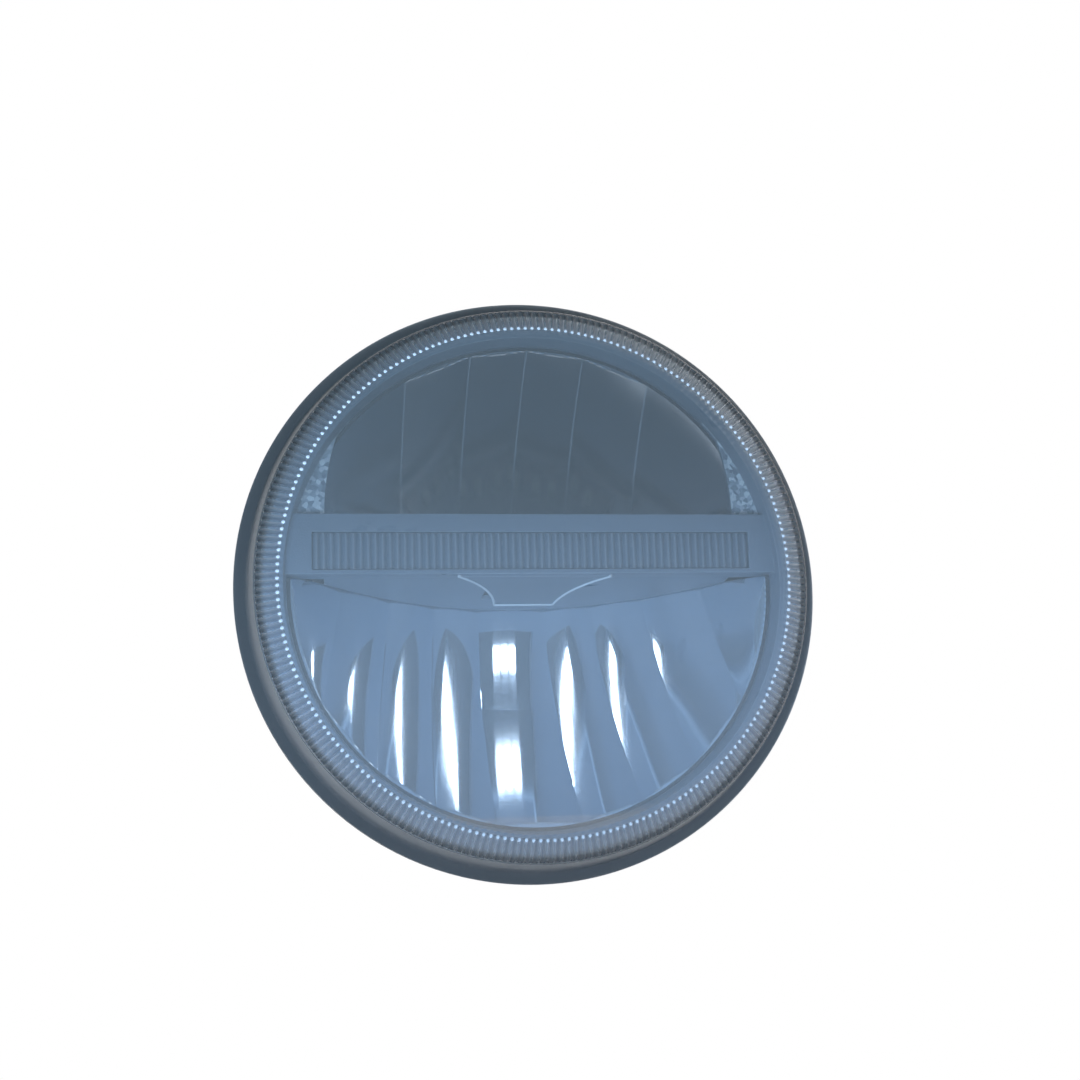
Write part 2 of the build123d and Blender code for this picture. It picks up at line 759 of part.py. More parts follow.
def make_connector_terminals():
    blade = Rectangle(terminal_width, terminal_wall)
    front = driver_front - terminal_tail
    back = connector_cavity + terminal_reach
    return Compound([slab(Pos(x, connector_z) * blade, front, back) for x in terminal_x])


def make_vent_cap():
    back = housing_depth + vent_cap_height
    cap = rod(vent_cap_r, housing_depth, back, vent_x, vent_z)
    bore_back = housing_depth + vent_spigot_height + vent_clear
    cap -= rod(vent_spigot_r + vent_clear, housing_depth, bore_back, vent_x, vent_z)
    slot_y = (housing_depth, housing_depth + vent_slot)
    slot = block(-vent_cap_r, vent_cap_r, *slot_y, -vent_slot / 2, vent_slot / 2)
    return cap - Pos(vent_x, 0, vent_z) * slot


def make_reflector_screws():
    screws = []
    for x in (-tab_x, tab_x):
        turn_screw = small_screw(reflector_screw_length)
        screws.append(Pos(x, tab_hole_y(upper_edge), shelf_top + tab_wall) * turn_screw)
        screws.append(Pos(x, tab_hole_y(lower_edge), shelf_bottom - tab_wall) * from_below * turn_screw)
    return Compound(screws)


def make_board_screws():
    screws = []
    for x in (-board_hole_x, board_hole_x):
        board_screw = small_screw(board_screw_length)
        screws.append(Pos(x, board_hole_y, shelf_top + board_wall) * board_screw)
        screws.append(Pos(x, board_hole_y, shelf_bottom - board_wall) * from_below * board_screw)
    return Compound(screws)


def screws_at(places, depth, facing, one):
    """Copies of a screw at places on the face, seated at one depth."""
    return Compound([Pos(x, depth, z) * facing * one for x, z in places])


connector_seat = connector_front + connector_flange_wall
connector_screw = small_screw(connector_screw_length)
heat_screw = large_screw(plate_back - rear_inner + heat_boss_depth - root)
parts = {
    "lens": make_lens(),
    "lens_seal": make_lens_seal(),
    "inner_bezel": make_inner_bezel(),
    "position_light_bar": make_position_light(),
    "position_light_board": make_position_board(),
    "position_leds": make_position_leds(),
    "upper_reflector": make_reflector(upper_columns, upper_edge, 1),
    "lower_reflector": make_reflector(lower_columns, lower_edge, -1, lower_fan),
    "low_beam_board": make_board(shelf_top),
    "low_beam_leds": make_leds(low_led_x, shelf_top + board_wall),
    "high_beam_board": make_board(shelf_bottom - board_wall),
    "high_beam_leds": make_leds(high_led_x, shelf_bottom - board_wall - led_height),
    "heat_sink": make_heat_sink(),
    "heat_sink_gasket": make_heat_sink_gasket(),
    "rear_housing": make_rear_housing(),
    "driver_board": make_driver_board(),
    "driver_coil": make_driver_coil(),
    "driver_capacitors": make_driver_capacitors(),
    "connector_socket": make_connector_socket(),
    "connector_seal": make_connector_seal(),
    "connector_terminals": make_connector_terminals(),
    "vent_cap": make_vent_cap(),
    "bezel_screws": screws_at(bezel_holes, bar_floor, from_front, large_screw(bezel_screw_length)),
    "reflector_screws": make_reflector_screws(),
    "board_screws": make_board_screws(),
    "driver_screws": screws_at(driver_holes, driver_front, from_front, small_screw(driver_screw_length)),
    "heat_sink_screws": screws_at(heat_holes, plate_back, from_rear, heat_screw),
    "connector_screws": screws_at(connector_holes, connector_seat, from_rear, connector_screw),
}

os.makedirs("parts", exist_ok=True)
for name, shape in parts.items():
    export_step(shape, f"parts/{name}.step")
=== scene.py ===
"""Dresses the round motorcycle headlight: smoked lens, mirror-coated bowls, bezel, cast heat sink."""
from math import radians

import bpy
import numpy as np
from bpy.props import FloatProperty, FloatVectorProperty, IntProperty, IntVectorProperty, PointerProperty
from mathutils import Matrix, Vector


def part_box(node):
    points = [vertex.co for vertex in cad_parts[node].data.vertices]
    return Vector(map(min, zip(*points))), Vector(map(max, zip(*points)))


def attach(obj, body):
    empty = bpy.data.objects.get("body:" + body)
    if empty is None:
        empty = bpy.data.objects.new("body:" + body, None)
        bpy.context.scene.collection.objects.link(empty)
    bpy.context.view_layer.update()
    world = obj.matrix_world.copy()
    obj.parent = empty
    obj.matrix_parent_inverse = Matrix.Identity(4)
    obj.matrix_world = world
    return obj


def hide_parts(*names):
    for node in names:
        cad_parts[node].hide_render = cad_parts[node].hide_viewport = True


bl_info = {
    "name": "Round Headlight",
    "version": (1, 0, 0),
    "blender": (4, 5, 0),
    "location": "3D View > Sidebar > Headlight",
    "description": "Builds the looks of a round motorcycle headlight around its solids",
    "category": "Object",
}

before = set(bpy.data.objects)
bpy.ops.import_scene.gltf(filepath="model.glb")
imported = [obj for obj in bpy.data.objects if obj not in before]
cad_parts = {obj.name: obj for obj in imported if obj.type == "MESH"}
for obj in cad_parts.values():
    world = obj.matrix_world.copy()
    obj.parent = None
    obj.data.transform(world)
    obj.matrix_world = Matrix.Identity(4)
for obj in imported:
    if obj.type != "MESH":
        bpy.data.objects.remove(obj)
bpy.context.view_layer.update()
LENS_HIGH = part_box("lens")[1]
BEZEL_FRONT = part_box("inner_bezel")[0].y
BOWL_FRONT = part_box("upper_reflector")[0].y

# Photo's camera: place in metres, the way it looks in degrees, lens and sensor in millimetres
CAMERA_PLACE = (-0.0779, -0.4780, -0.0747)
CAMERA_YAW = 9.70
CAMERA_PITCH = 10.45
CAMERA_ROLL = 1.8
CAMERA_LENS = 53.33
CAMERA_NEAR = 0.01
SENSOR_WIDTH = 36.0

# Lens mesh: rings of its two domes, rows of the band, points of its soft edges and of a flute
FACE_RINGS = 6
INNER_RINGS = 5
BAND_ROWS = 13
SHOULDER_POINTS = 4
RIM_POINTS = 3
FLUTE_POINTS = 6

# A dome's plain rings end at this share of its radius, and the close rings at its edge follow
DOME_SHARE = 0.96
EDGE_SHARES = (0.975, 0.985, 0.991, 0.996, 1.0)

# Share of the band over which a flute fades in and out
FLUTE_EASE = 0.12

# Meshes of a bead, the shade's lip, a bowl's column and the floor
BEAD_SIDES = 8
BEAD_ROWS = 5
LIP_SIDES = 10
LIP_POINTS = 40
COLUMN_POINTS = 31
BOWL_ROWS = 151
FLOOR_SIDES = 96
FLOOR_RINGS = 12
FLOOR_HOLE = 0.02

# Marks on the lens mesh: darker, duller flute valleys and frosted skirt, with the roughness that each adds
LENS_MARKS = ("groove", "frost")
GROOVE_DULL = 0.3
SKIRT_DULL = 0.45

# Share of the skirt's frost that the flutes have
BAND_FROST = 0.35

# Heights between which the lens darkens from clear: a painted shade towards its top
PAINTED_SHADE_LOW = -0.045
PAINTED_SHADE_HIGH = 0.06

# Lit dies: spacing, half width and half depth, depth of the glowing skin, and brightness
DIE_PITCH = 0.0037
DIE_HALF = 0.0016
DIE_DEPTH = 0.0009
DIE_SKIN = 0.0004
DIE_GLOW = 25.0

# Bezel's corner pieces: inner edge, foot, depth of their face behind the bezel's front, its
# tolerance, cells of painted glints in a metre, and their contrast
CORNER_INNER = 0.054
CORNER_FOOT = 0.0204
CORNER_SET = 0.005
CORNER_NEAR = 0.0003
CORNER_CELLS = 800.0
CORNER_CONTRAST = 1.5

# Lines between the upper bowl's columns: half width, and how much of the metal's shine they lose
LINE_HALF = 0.00025
LINE_LOSS = 0.25

# Position light's strip: number of ribs, and how narrow the painted highlights on their ridges are
STRIP_RIBS = 61
RIDGE_HIGHLIGHT_POWER = 3.0

# Depth of the fine grain, and the worn edges' noise and contrast
GRAIN_DEPTH = 0.0002
WEAR_SCALE = 350.0
WEAR_GAIN = 6.0
WEAR_SAMPLES = 6

# World: heights between which its front darkens, and depths between which it turns white behind
FRONT_LOW = -0.45
FRONT_HIGH = 0.35
WHITE_START = -0.1
WHITE_END = 0.45

BLACK = (0.0, 0.0, 0.0)
WHITE = (1.0, 1.0, 1.0)


def length(name, description, default):
    """A size in metres that shows in the scene's length unit."""
    return FloatProperty(name=name, description=description, default=default, unit="LENGTH", precision=5)


def places(name, description, default):
    """A row of lengths."""
    return FloatVectorProperty(
        name=name, description=description, default=default, size=len(default), unit="LENGTH"
    )


def counts(name, description, default):
    """A row of whole numbers."""
    return IntVectorProperty(name=name, description=description, default=default, size=len(default))


def colour(name, description, default):
    """A linear colour."""
    return FloatVectorProperty(
        name=name, description=description, default=default, subtype="COLOR", min=0, max=1
    )


def power(name, description, default):
    """A lamp's power in watts."""
    return FloatProperty(name=name, description=description, default=default, subtype="POWER")


class LensSizes(bpy.types.PropertyGroup):
    """Section and flutes of the front lens."""

    flange_radius: length("Flange radius", "Outer radius of the mounting rim", LENS_HIGH.x)
    tongue_end: length("Tongue end", "Depth of the tongue's end", LENS_HIGH.y)
    rim_front: length("Rim front", "Depth of the rim's front face", -0.0044)
    rim_back: length("Rim back", "Depth of the rim's back face", -0.0022)
    skirt_radius: length("Skirt radius", "Radius of the skirt at the rim", 0.0856)
    shoulder_radius: length("Shoulder radius", "Radius where the skirt meets the flutes", 0.0832)
    shoulder_depth: length("Shoulder depth", "Depth where the skirt meets the flutes", -0.0160)
    bead_radius: length("Bead radius", "Radius of the ring of beads", 0.0757)
    bead_depth: length("Bead depth", "Depth of the ring of beads", -0.0201)
    tongue_inner: length("Tongue inner radius", "Inner radius of the tongue", 0.0808)
    corner_depth: length("Inner corner", "Depth of the inner corner above the tongue", -0.01446)
    inner_radius: length("Inner dome radius", "Radius of the inner dome's edge", 0.0746)
    inner_depth: length("Inner dome depth", "Depth of the inner dome's edge", -0.01785)
    dome_radius: length("Dome radius", "Radius of curvature of the face", 0.300)
    wall: length("Wall", "Thickness of the moulding", 0.0025)
    soft_edge: length("Soft edge", "Rounding of the outer edges", 0.0007)
    flute_count: IntProperty(name="Flutes", description="Number of flutes round the shoulder", default=232)
    flute_depth: length("Flute depth", "Depth of a flute", 0.0006)
    swell: length("Swell", "Rise of the lens under a bead", 0.0002)
    swell_width: length("Swell width", "Length of that rise across the band", 0.0006)
    bead_width: length("Bead width", "Half width of a bead round the ring", 0.00055)
    bead_length: length("Bead length", "Half length of a bead along its flute", 0.0007)
    bead_height: length("Bead height", "Height of a bead over the band", 0.0004)
    bead_set: length("Bead set", "Distance of the beads' middles from the band's end", 0.0006)


class ShadeSizes(bpy.types.PropertyGroup):
    """Rolled edge of the flared shade under the bar."""

    front: length("Front", "Depth of the shade's root", BEZEL_FRONT + 0.0022)
    height: length("Height", "Height of the shade's root", 0.0013)
    reach: length("Reach", "Depth of the shade from its root to its tip", 0.0250)
    root_half: length("Root half width", "Half width of the shade at its root", 0.0230)
    tip_half: length("Tip half width", "Half width of the shade at its tip", 0.0093)
    sag: length("Sag", "How far the sides curve in", 0.0032)
    radius: length("Lip radius", "Radius of the rolled edge", 0.0005)
    lift: length("Lip lift", "Height of the lip's middle over the shade's lower face", 0.0001)
    tilt: FloatProperty(name="Tilt", description="Slope of the shade in degrees", default=11.0)


class BowlSizes(bpy.types.PropertyGroup):
    """Form of the two half bowls."""

    mouth_radius: length("Mouth radius", "Radius of the bowls at the window", 0.0724)
    mouth_depth: length("Mouth depth", "Depth of the bowls' mouth", BOWL_FRONT)
    bowl_depth: length("Bowl depth", "Depth from the mouth to the vertex", 0.0494)
    upper_edge: length("Upper edge", "Height of the upper bowl's edge", 0.0206)
    lower_edge: length("Lower edge", "Height of the lower bowl's edge", 0.0019)
    upper_columns: places(
        "Upper columns",
        "Places of the upper bowl's column edges",
        (-0.0375, -0.0175, 0.0, 0.0175, 0.0375),
    )
    lower_columns: places(
        "Lower columns",
        "Places of the lower bowl's column edges",
        (-0.0405, -0.0255, -0.0106, 0.0106, 0.0255, 0.0405),
    )
    lower_fan: FloatProperty(name="Fan", description="How far the lower columns spread", default=0.22)
    pillow: length("Pillow", "Rise of a column's face over its chord", 0.0005)
    side_pillow: length("Side pillow", "Rise of each half of a lower side column", 0.0011)
    upper_arches: counts("Upper arches", "Arches along each upper column", (1, 1, 1, 1, 1, 1))
    lower_arches: counts("Lower arches", "Arches along each lower column", (1, 1, 1, 2, 1, 1, 1))
    upper_arch: length("Upper arch", "Rise of a single arch along an upper column", 0.0003)
    lower_arch: length("Lower arch", "Rise of a single arch along a lower column", 0.0009)
    crease: length("Crease", "Half width of the rounded line between columns", 0.00012)
    coat_lift: length("Coat lift", "Height of the mirror coat over the moulding", 0.00025)
    coat_wall: length("Coat wall", "Thickness of the mirror coat", 0.0001)


class Finishes(bpy.types.PropertyGroup):
    """Colours of the headlight's materials, linear."""

    lens_tint: colour("Lens tint", "Tint of the clear lens", (0.94, 0.965, 1.0))
    # Painted shade: darkens the lens and the light it lets through towards its top
    lens_painted_shade: colour("Lens smoke", "Smoke towards the top of the lens", (0.71, 0.715, 0.70))
    # Darker colour in the valleys of the flutes
    groove: colour("Groove", "Dusty valleys of the flutes", (0.61, 0.62, 0.65))
    # Painted glints: pale, nearly opaque beads that show as bright dots whatever the light
    bead: colour("Beads", "Bright beads at the flutes' inner ends", (0.86, 0.91, 0.98))
    strip_tint: colour("Strip tint", "Valleys of the ribbed strip", (0.26, 0.32, 0.40))
    # Painted highlight on the ridges of the strip's ribs
    ridge_highlight: colour("Ridges", "Ridges of the ribbed strip", (0.60, 0.69, 0.80))
    # Painted blue light: the lower bowl's coat is paler and bluer than the upper one's
    mirror: colour("Mirror coat", "Metallised lower bowl", (0.73, 0.86, 1.0))
    satin: colour("Satin coat", "Metallised upper bowl", (0.72, 0.79, 0.87))
    moulding: colour("Bowl moulding", "Uncoated back of the bowls", (0.055, 0.058, 0.064))
    bezel: colour("Bezel", "Grained bezel", (0.175, 0.22, 0.285))
    # Painted glints: pale cells on the bezel's corner pieces
    corner_glint: colour("Reflex grain", "Pale cells of the corner pieces", (0.78, 0.84, 0.90))
    # Painted highlight: the shade's rolled edge is pale so that it reads as bright arcs
    lip: colour("Shade lip", "Polished edge of the shade", (0.72, 0.77, 0.83))
    housing: colour("Housing", "Black rear housing", (0.016, 0.017, 0.019))
    scuffed: colour("Scuffed plastic", "Worn edges of black plastic", (0.085, 0.087, 0.092))
    socket: colour("Socket", "Plug socket", (0.022, 0.022, 0.024))
    cast: colour("Heat sink", "Blasted die casting", (0.42, 0.43, 0.44))
    bare_cast: colour("Bare metal", "Worn edges of casting and screws", (0.72, 0.73, 0.74))
    rubber: colour("Rubber", "Seals and breather", (0.012, 0.012, 0.012))
    black_board: colour("Black board", "Diode boards", (0.030, 0.031, 0.035))
    green_board: colour("Green board", "Driver board", (0.012, 0.085, 0.035))
    phosphor: colour("Phosphor", "Diodes that are off", (0.26, 0.25, 0.17))
    lit_diode: colour("Lit diode", "Light of the diodes that are on", (0.88, 0.94, 1.0))
    lit_frame: colour("Lit frame", "Face of a lit diode round its die", (0.42, 0.46, 0.52))
    ferrite: colour("Choke", "Driver's choke", (0.03, 0.03, 0.033))
    can: colour("Capacitor can", "Driver's capacitors", (0.50, 0.51, 0.53))
    blade: colour("Blades", "Tin-plated terminals", (0.62, 0.60, 0.55))
    steel: colour("Screws", "Zinc-plated screws", (0.42, 0.43, 0.45))


class StageSizes(bpy.types.PropertyGroup):
    """Floor, world and lamps."""

    floor_drop: length("Floor drop", "Height of the floor", -0.20)
    floor_radius: length("Floor radius", "Radius of the floor", 1.2)
    floor_back: length("Floor back", "How far behind the headlight the floor's middle lies", 0.9)
    fade_start: length("Fade start", "Distance where the floor starts to whiten", 0.12)
    fade_end: length("Fade end", "Distance where the floor is white", 0.34)
    floor_colour: colour("Floor", "Pale floor", (0.86, 0.87, 0.88))
    front_low: colour("Front, low", "World in front, low down", (0.48, 0.70, 1.0))
    front_high: colour("Front, high", "World in front, high up", (0.09, 0.12, 0.145))
    fill_colour: colour("Fill colour", "Light of the side lamp", (0.53, 0.77, 1.0))
    key_power: power("Key", "Power of the main soft lamp", 3.5)
    fill_power: power("Fill", "Power of the side lamp", 25.5)
    rim_power: power("Rim", "Power of the lamp behind", 3.0)


def link(obj):
    bpy.context.scene.collection.objects.link(obj)
    return obj


def signed_volume(points, triangles):
    """A sixth of the sum of each triangle's triple product: positive where faces point outwards."""
    a, b, c = (points[triangles[:, i]] for i in range(3))
    return np.einsum("ij,ij->i", a, np.cross(b, c)).sum() / 6


def surface_object(name, points, quads, triangles, crease_angle):
    """A mesh object from whole arrays, turned so that its faces point outwards, smooth but for
    edges past an angle in degrees."""
    halves = np.concatenate([quads[:, [0, 1, 2]], quads[:, [0, 2, 3]], triangles])
    if signed_volume(points, halves) < 0:
        quads = quads[:, ::-1]
        triangles = triangles[:, ::-1]
    corners = np.concatenate([quads.ravel(), triangles.ravel()]).astype(np.int32)
    starts = np.concatenate([np.arange(len(quads)) * 4, quads.size + np.arange(len(triangles)) * 3])
    mesh = bpy.data.meshes.new(name)
    mesh.vertices.add(len(points))
    mesh.vertices.foreach_set("co", points.astype(np.float32).ravel())
    mesh.loops.add(len(corners))
    mesh.loops.foreach_set("vertex_index", corners)
    mesh.polygons.add(len(starts))
    mesh.polygons.foreach_set("loop_start", starts.astype(np.int32))
    mesh.update(calc_edges=True)
    if mesh.validate():
        raise RuntimeError(f"{name} has bad faces")
    mesh.shade_smooth()
    mesh.set_sharp_from_angle(angle=radians(crease_angle))
    return link(bpy.data.objects.new(name, mesh))


def grid_quads(rows, columns, closed):
    """Corner numbers of a grid's faces, row by row; a closed grid joins its last column to its
    first."""
    across = columns if closed else columns - 1
    row, column = np.meshgrid(np.arange(rows - 1), np.arange(across), indexing="ij")
    here = row * columns + column
    beside = row * columns + (column + 1) % columns
    return np.stack([here, beside, beside + columns, here + columns], axis=-1).reshape(-1, 4)


def pole_fans(rows, columns):
    """Triangles that close a turned grid: one fan from the point after the grid to its first row,
    and one from the next point to its last row."""
    ring = np.arange(columns)
    last = ring + (rows - 1) * columns
    pole = np.full(columns, rows * columns)
    first_fan = np.stack([pole, np.roll(ring, -1), ring], axis=-1)
    last_fan = np.stack([pole + 1, last, np.roll(last, -1)], axis=-1)
    return first_fan, last_fan


def full_turn(count):
    """Even steps of angle round a circle, from 0."""
    return np.arange(count) * 2 * np.pi / count


def hump(share):
    """1 - (2s - 1)^2: a rise from 0 to 1 and back as s goes from 0 to 1."""
    return 1 - (2 * share - 1) ** 2


def soften(corner, before, after, radius, count):
    """A corner cut by the curve (1-t)^2 A + 2t(1-t) B + t^2 C, with A and C a radius along the
    edges from corner B."""
    corner, before, after = (np.array(p) for p in (corner, before, after))
    start = corner + radius * (before - corner) / np.linalg.norm(before - corner)
    end = corner + radius * (after - corner) / np.linalg.norm(after - corner)
    t = np.linspace(0, 1, count)[:, None]
    return (1 - t) ** 2 * start + 2 * t * (1 - t) * corner + t**2 * end


def dome_arc(radius, edge_radius, edge_depth, rings):
    """Points (r, y) on a sphere's section from near the axis to its edge:
    y = edge + sqrt(R^2 - e^2) - sqrt(R^2 - r^2)."""
    r = edge_radius * np.append(np.linspace(0, DOME_SHARE, rings + 1)[1:], EDGE_SHARES)
    y = edge_depth + np.sqrt(radius**2 - edge_radius**2) - np.sqrt(radius**2 - r**2)
    return np.stack([r, y], axis=-1)


def lens_section(size):
    """The lens's closed section as (r, y) points from the outer apex to the inner one, with each
    point's share of flute and of bead. The flute's share is 1 along the band and falls to 0 at both
    ends by a smooth step; the bead's share is a bell curve over the distance from the band's inner
    end."""
    bead = (size.bead_radius, size.bead_depth)
    shoulder = (size.shoulder_radius, size.shoulder_depth)
    foot = (size.skirt_radius, size.rim_front)
    rim_top = (size.flange_radius, size.rim_front)
    rim_low = (size.flange_radius, size.rim_back)
    tongue_root = (size.shoulder_radius, size.rim_back)
    face = dome_arc(size.dome_radius, size.bead_radius, size.bead_depth, FACE_RINGS)
    along = np.linspace(0, 1, BAND_ROWS + 2)[1:-1]
    band = np.array(bead) + along[:, None] * (np.array(shoulder) - np.array(bead))
    edge = size.soft_edge
    outer = [
        face,
        band,
        soften(shoulder, bead, foot, edge, SHOULDER_POINTS),
        soften(foot, shoulder, rim_top, edge / 2, RIM_POINTS),
        soften(rim_top, foot, rim_low, edge / 2, RIM_POINTS),
        soften(rim_low, rim_top, tongue_root, edge / 2, RIM_POINTS),
        np.array([tongue_root, (size.shoulder_radius, size.tongue_end)]),
        np.array([(size.tongue_inner, size.tongue_end), (size.tongue_inner, size.corner_depth)]),
    ]
    inner_curve = size.dome_radius - size.wall
    inner = dome_arc(inner_curve, size.inner_radius, size.inner_depth, INNER_RINGS)[::-1]
    section = np.concatenate([*outer, inner])
    flute = np.zeros(len(section))
    beads = np.zeros(len(section))
    band_end = len(face) + len(band)
    ease = np.clip(np.minimum(along, 1 - along) / FLUTE_EASE, 0, 1)
    flute[len(face) : band_end] = ease * ease * (3 - 2 * ease)
    distance = np.hypot(section[:, 0] - bead[0], section[:, 1] - bead[1])
    beads[:band_end] = np.exp(-((distance[:band_end] / size.swell_width) ** 2))
    return section, flute, beads


def band_normal(size):
    """The fluted band's outward normal as (r, y), square to the line from its inner to its outer
    end."""
    depth = size.shoulder_depth - size.bead_depth
    across = np.array([depth, size.bead_radius - size.shoulder_radius])
    return across / np.linalg.norm(across)


def lens_surface(size):
    """Turns the section about the axis. At angle a the band sinks by depth * share * (1 - cos(N a))
    / 2, and it swells by height * share * ((1 + cos(N a)) / 2)^2 under the beads, both along the
    band's normal. The last result holds each point's share of groove, 1 in the valleys, and of
    frost, 1 on the skirt and rim and less along the flutes."""
    section, flute, beads = lens_section(size)
    rows = len(section)
    steps = size.flute_count * FLUTE_POINTS
    angle = full_turn(steps)
    wave = np.cos(size.flute_count * angle)
    groove = flute[:, None] * (1 - wave) / 2
    rise = size.swell * beads[:, None] * ((1 + wave) / 2) ** 2 - size.flute_depth * groove
    normal = band_normal(size)
    r = section[:, :1] + normal[0] * rise
    y = section[:, 1:] + normal[1] * rise
    points = np.stack([r * np.sin(angle), y, r * np.cos(angle)], axis=-1).reshape(-1, 3)
    ends = section[[0, -1]]
    pole_depth = ends[:, 1] - ends[:, 0] ** 2 / (2 * size.dome_radius)
    poles = np.stack([np.zeros(2), pole_depth, np.zeros(2)], axis=-1)
    skirt = (section[:, 1] > size.shoulder_depth) & (section[:, 0] > size.tongue_inner)
    frost = np.repeat(np.maximum(skirt, BAND_FROST * flute)[:, None], steps, axis=1)
    marks = [np.append(share.ravel(), (0, 0)) for share in (groove, frost)]
    fans = np.concatenate(pole_fans(rows, steps))
    return np.vstack([points, poles]), grid_quads(rows, steps, closed=True), fans, marks


def bead_surface(size):
    """A ring of ellipsoids, one for each ridge: middle + width sin(v) cos(u) round the ring +
    length sin(v) sin(u) along the flute + height cos(v) along the band's normal, with one point at
    each pole."""
    turn = full_turn(BEAD_SIDES)
    rise = np.linspace(0, np.pi, BEAD_ROWS + 2)[1:-1, None]
    flat = (np.sin(rise) * np.cos(turn), np.sin(rise) * np.sin(turn))
    local = np.stack([*flat, np.cos(rise) + 0 * turn], axis=-1)
    local = np.vstack([local.reshape(-1, 3), (0, 0, 1), (0, 0, -1)])
    local = local * (size.bead_width, size.bead_length, size.bead_height)
    normal = band_normal(size)
    along = np.array([-normal[1], normal[0]])
    outward = size.bead_set + local[:, 1]
    r = size.bead_radius + along[0] * outward + normal[0] * local[:, 2]
    y = size.bead_depth + along[1] * outward + normal[1] * local[:, 2]
    angle = full_turn(size.flute_count)[:, None]
    x = r * np.sin(angle) + local[:, 0] * np.cos(angle)
    z = r * np.cos(angle) - local[:, 0] * np.sin(angle)
    points = np.stack([x, y + 0 * x, z], axis=-1).reshape(-1, 3)
    first = np.arange(size.flute_count)[:, None, None] * len(local)
    quads = (grid_quads(BEAD_ROWS, BEAD_SIDES, closed=True) + first).reshape(-1, 4)
    fans = np.concatenate(pole_fans(BEAD_ROWS, BEAD_SIDES))
    return points, quads, (fans + first).reshape(-1, 3)


def arc_points(start, middle, end, count):
    """Points on the circle through three points of a plane, evenly spaced by angle from the first
    to the last."""
    a, b, c = (complex(*p) for p in (start, middle, end))
    w = (c - a) / (b - a)
    centre = (b - a) * (w - abs(w) ** 2) / (2j * w.imag) + a
    turn = np.linspace(0, np.angle((c - centre) / (a - centre)), count)
    points = centre + (a - centre) * np.exp(1j * turn)
    return np.stack([points.real, points.imag], axis=-1)


def lip_surface(size):
    """A round bar carried along the shade's edge: down one curved side, across the tip and up the
    other. Each ring is the path's point + radius (cos(v) across + sin(v) normal), with a cap at
    each end."""
    tilt = radians(size.tilt)
    half_way = (size.root_half + size.tip_half) / 2 - size.sag
    reach = size.reach / np.cos(tilt)
    corners = ((size.root_half, 0), (half_way, reach / 2), (size.tip_half, reach))
    side = arc_points(*corners, LIP_POINTS)
    path = np.vstack([side, side[::-1] * (-1, 1)])
    ahead = np.gradient(path, axis=0)
    square = np.stack([ahead[:, 1], -ahead[:, 0]], axis=-1)
    across = square / np.linalg.norm(ahead, axis=1)[:, None]
    turn = full_turn(LIP_SIDES)
    flat = path[:, None] + size.radius * np.cos(turn)[:, None] * across[:, None]
    lift = size.lift + size.radius * np.sin(turn) + np.zeros((len(path), 1))
    x = flat[..., 0]
    y = size.front + flat[..., 1] * np.cos(tilt) + lift * np.sin(tilt)
    z = size.height - flat[..., 1] * np.sin(tilt) + lift * np.cos(tilt)
    points = np.stack([x, y, z], axis=-1).reshape(-1, 3)
    corner = np.arange(1, LIP_SIDES - 1)
    cap = np.stack([0 * corner, corner, corner + 1], axis=-1)
    last = (len(path) - 1) * LIP_SIDES
    caps = np.concatenate([cap, cap[:, ::-1] + last])
    return points, grid_quads(len(path), LIP_SIDES, closed=True), caps


def bowl_face(size, columns, edge, side, fan, ripple, arches, arch):
    """Points on a half bowl for places p across and shares t down, with a close pair of places at
    each line between columns. A place moves out as x = p (1 + fan d / R), where d is the distance
    from the bowl's edge. Side columns lie on y = vertex - k (x^2 + z^2), k = depth / R^2, and each
    half of one rises by ripple times a hump. Inner columns span the chord between their two lines
    on that bowl and rise by pillow times a hump towards the front. Along its length each column
    adds n arches, humps of height arch / n."""
    crease = size.crease
    mouth = size.mouth_radius - crease
    rate = size.bowl_depth / size.mouth_radius**2
    vertex = size.mouth_depth + size.bowl_depth
    reach = np.sqrt(mouth**2 - edge**2) - crease
    lines = np.array([-reach, *columns, reach])
    p = np.linspace(lines[:-1] + crease, lines[1:] - crease, COLUMN_POINTS).T.reshape(-1, 1)
    i = np.repeat(np.arange(len(lines) - 1), COLUMN_POINTS)
    k = fan / size.mouth_radius
    a = p**2 * k**2 + 1
    b = p**2 * k + side * edge
    c = p**2 + edge**2 - mouth**2
    longest = (-b + np.sqrt(b**2 - a * c)) / a
    t = np.linspace(0, 1, BOWL_ROWS)
    d = longest * t
    spread = 1 + k * d
    x = p * spread
    z = edge + side * d
    left = lines[i][:, None] * spread
    right = lines[i + 1][:, None] * spread
    s = (x - left) / (right - left)
    chord = vertex - rate * (left**2 * (1 - s) + right**2 * s + z**2)
    column = chord - size.pillow * hump(s)
    halves = vertex - rate * (x**2 + z**2) - ripple * hump(2 * s % 1.0)
    is_side = ((i == 0) | (i == len(lines) - 2))[:, None]
    count = np.array(arches)[i][:, None]
    y = np.where(is_side, halves, column) - arch / count * hump(t * count % 1.0)
    return np.stack([x, np.maximum(y, size.mouth_depth), z], axis=-1)


def coat_surface(size, **form):
    """A thin closed skin: the bowl's face lifted to the front, its copy one wall behind, and a strip
    round the border."""
    face = bowl_face(size, **form)
    across, down = face.shape[:2]
    front = face - (0, size.coat_lift, 0)
    back = front + (0, size.coat_wall, 0)
    points = np.concatenate([front.reshape(-1, 3), back.reshape(-1, 3)])
    quads = grid_quads(across, down, closed=False)
    shift = across * down
    number = np.arange(shift).reshape(across, down)
    sides = (number[0, :-1], number[:-1, -1], number[-1, :0:-1], number[:0:-1, 0])
    border = np.concatenate(sides)
    ahead = np.roll(border, -1)
    strip = np.stack([border, border + shift, ahead + shift, ahead], axis=-1)
    quads = np.concatenate([quads, quads[:, ::-1] + shift, strip])
    return points, quads, np.zeros((0, 3), int)


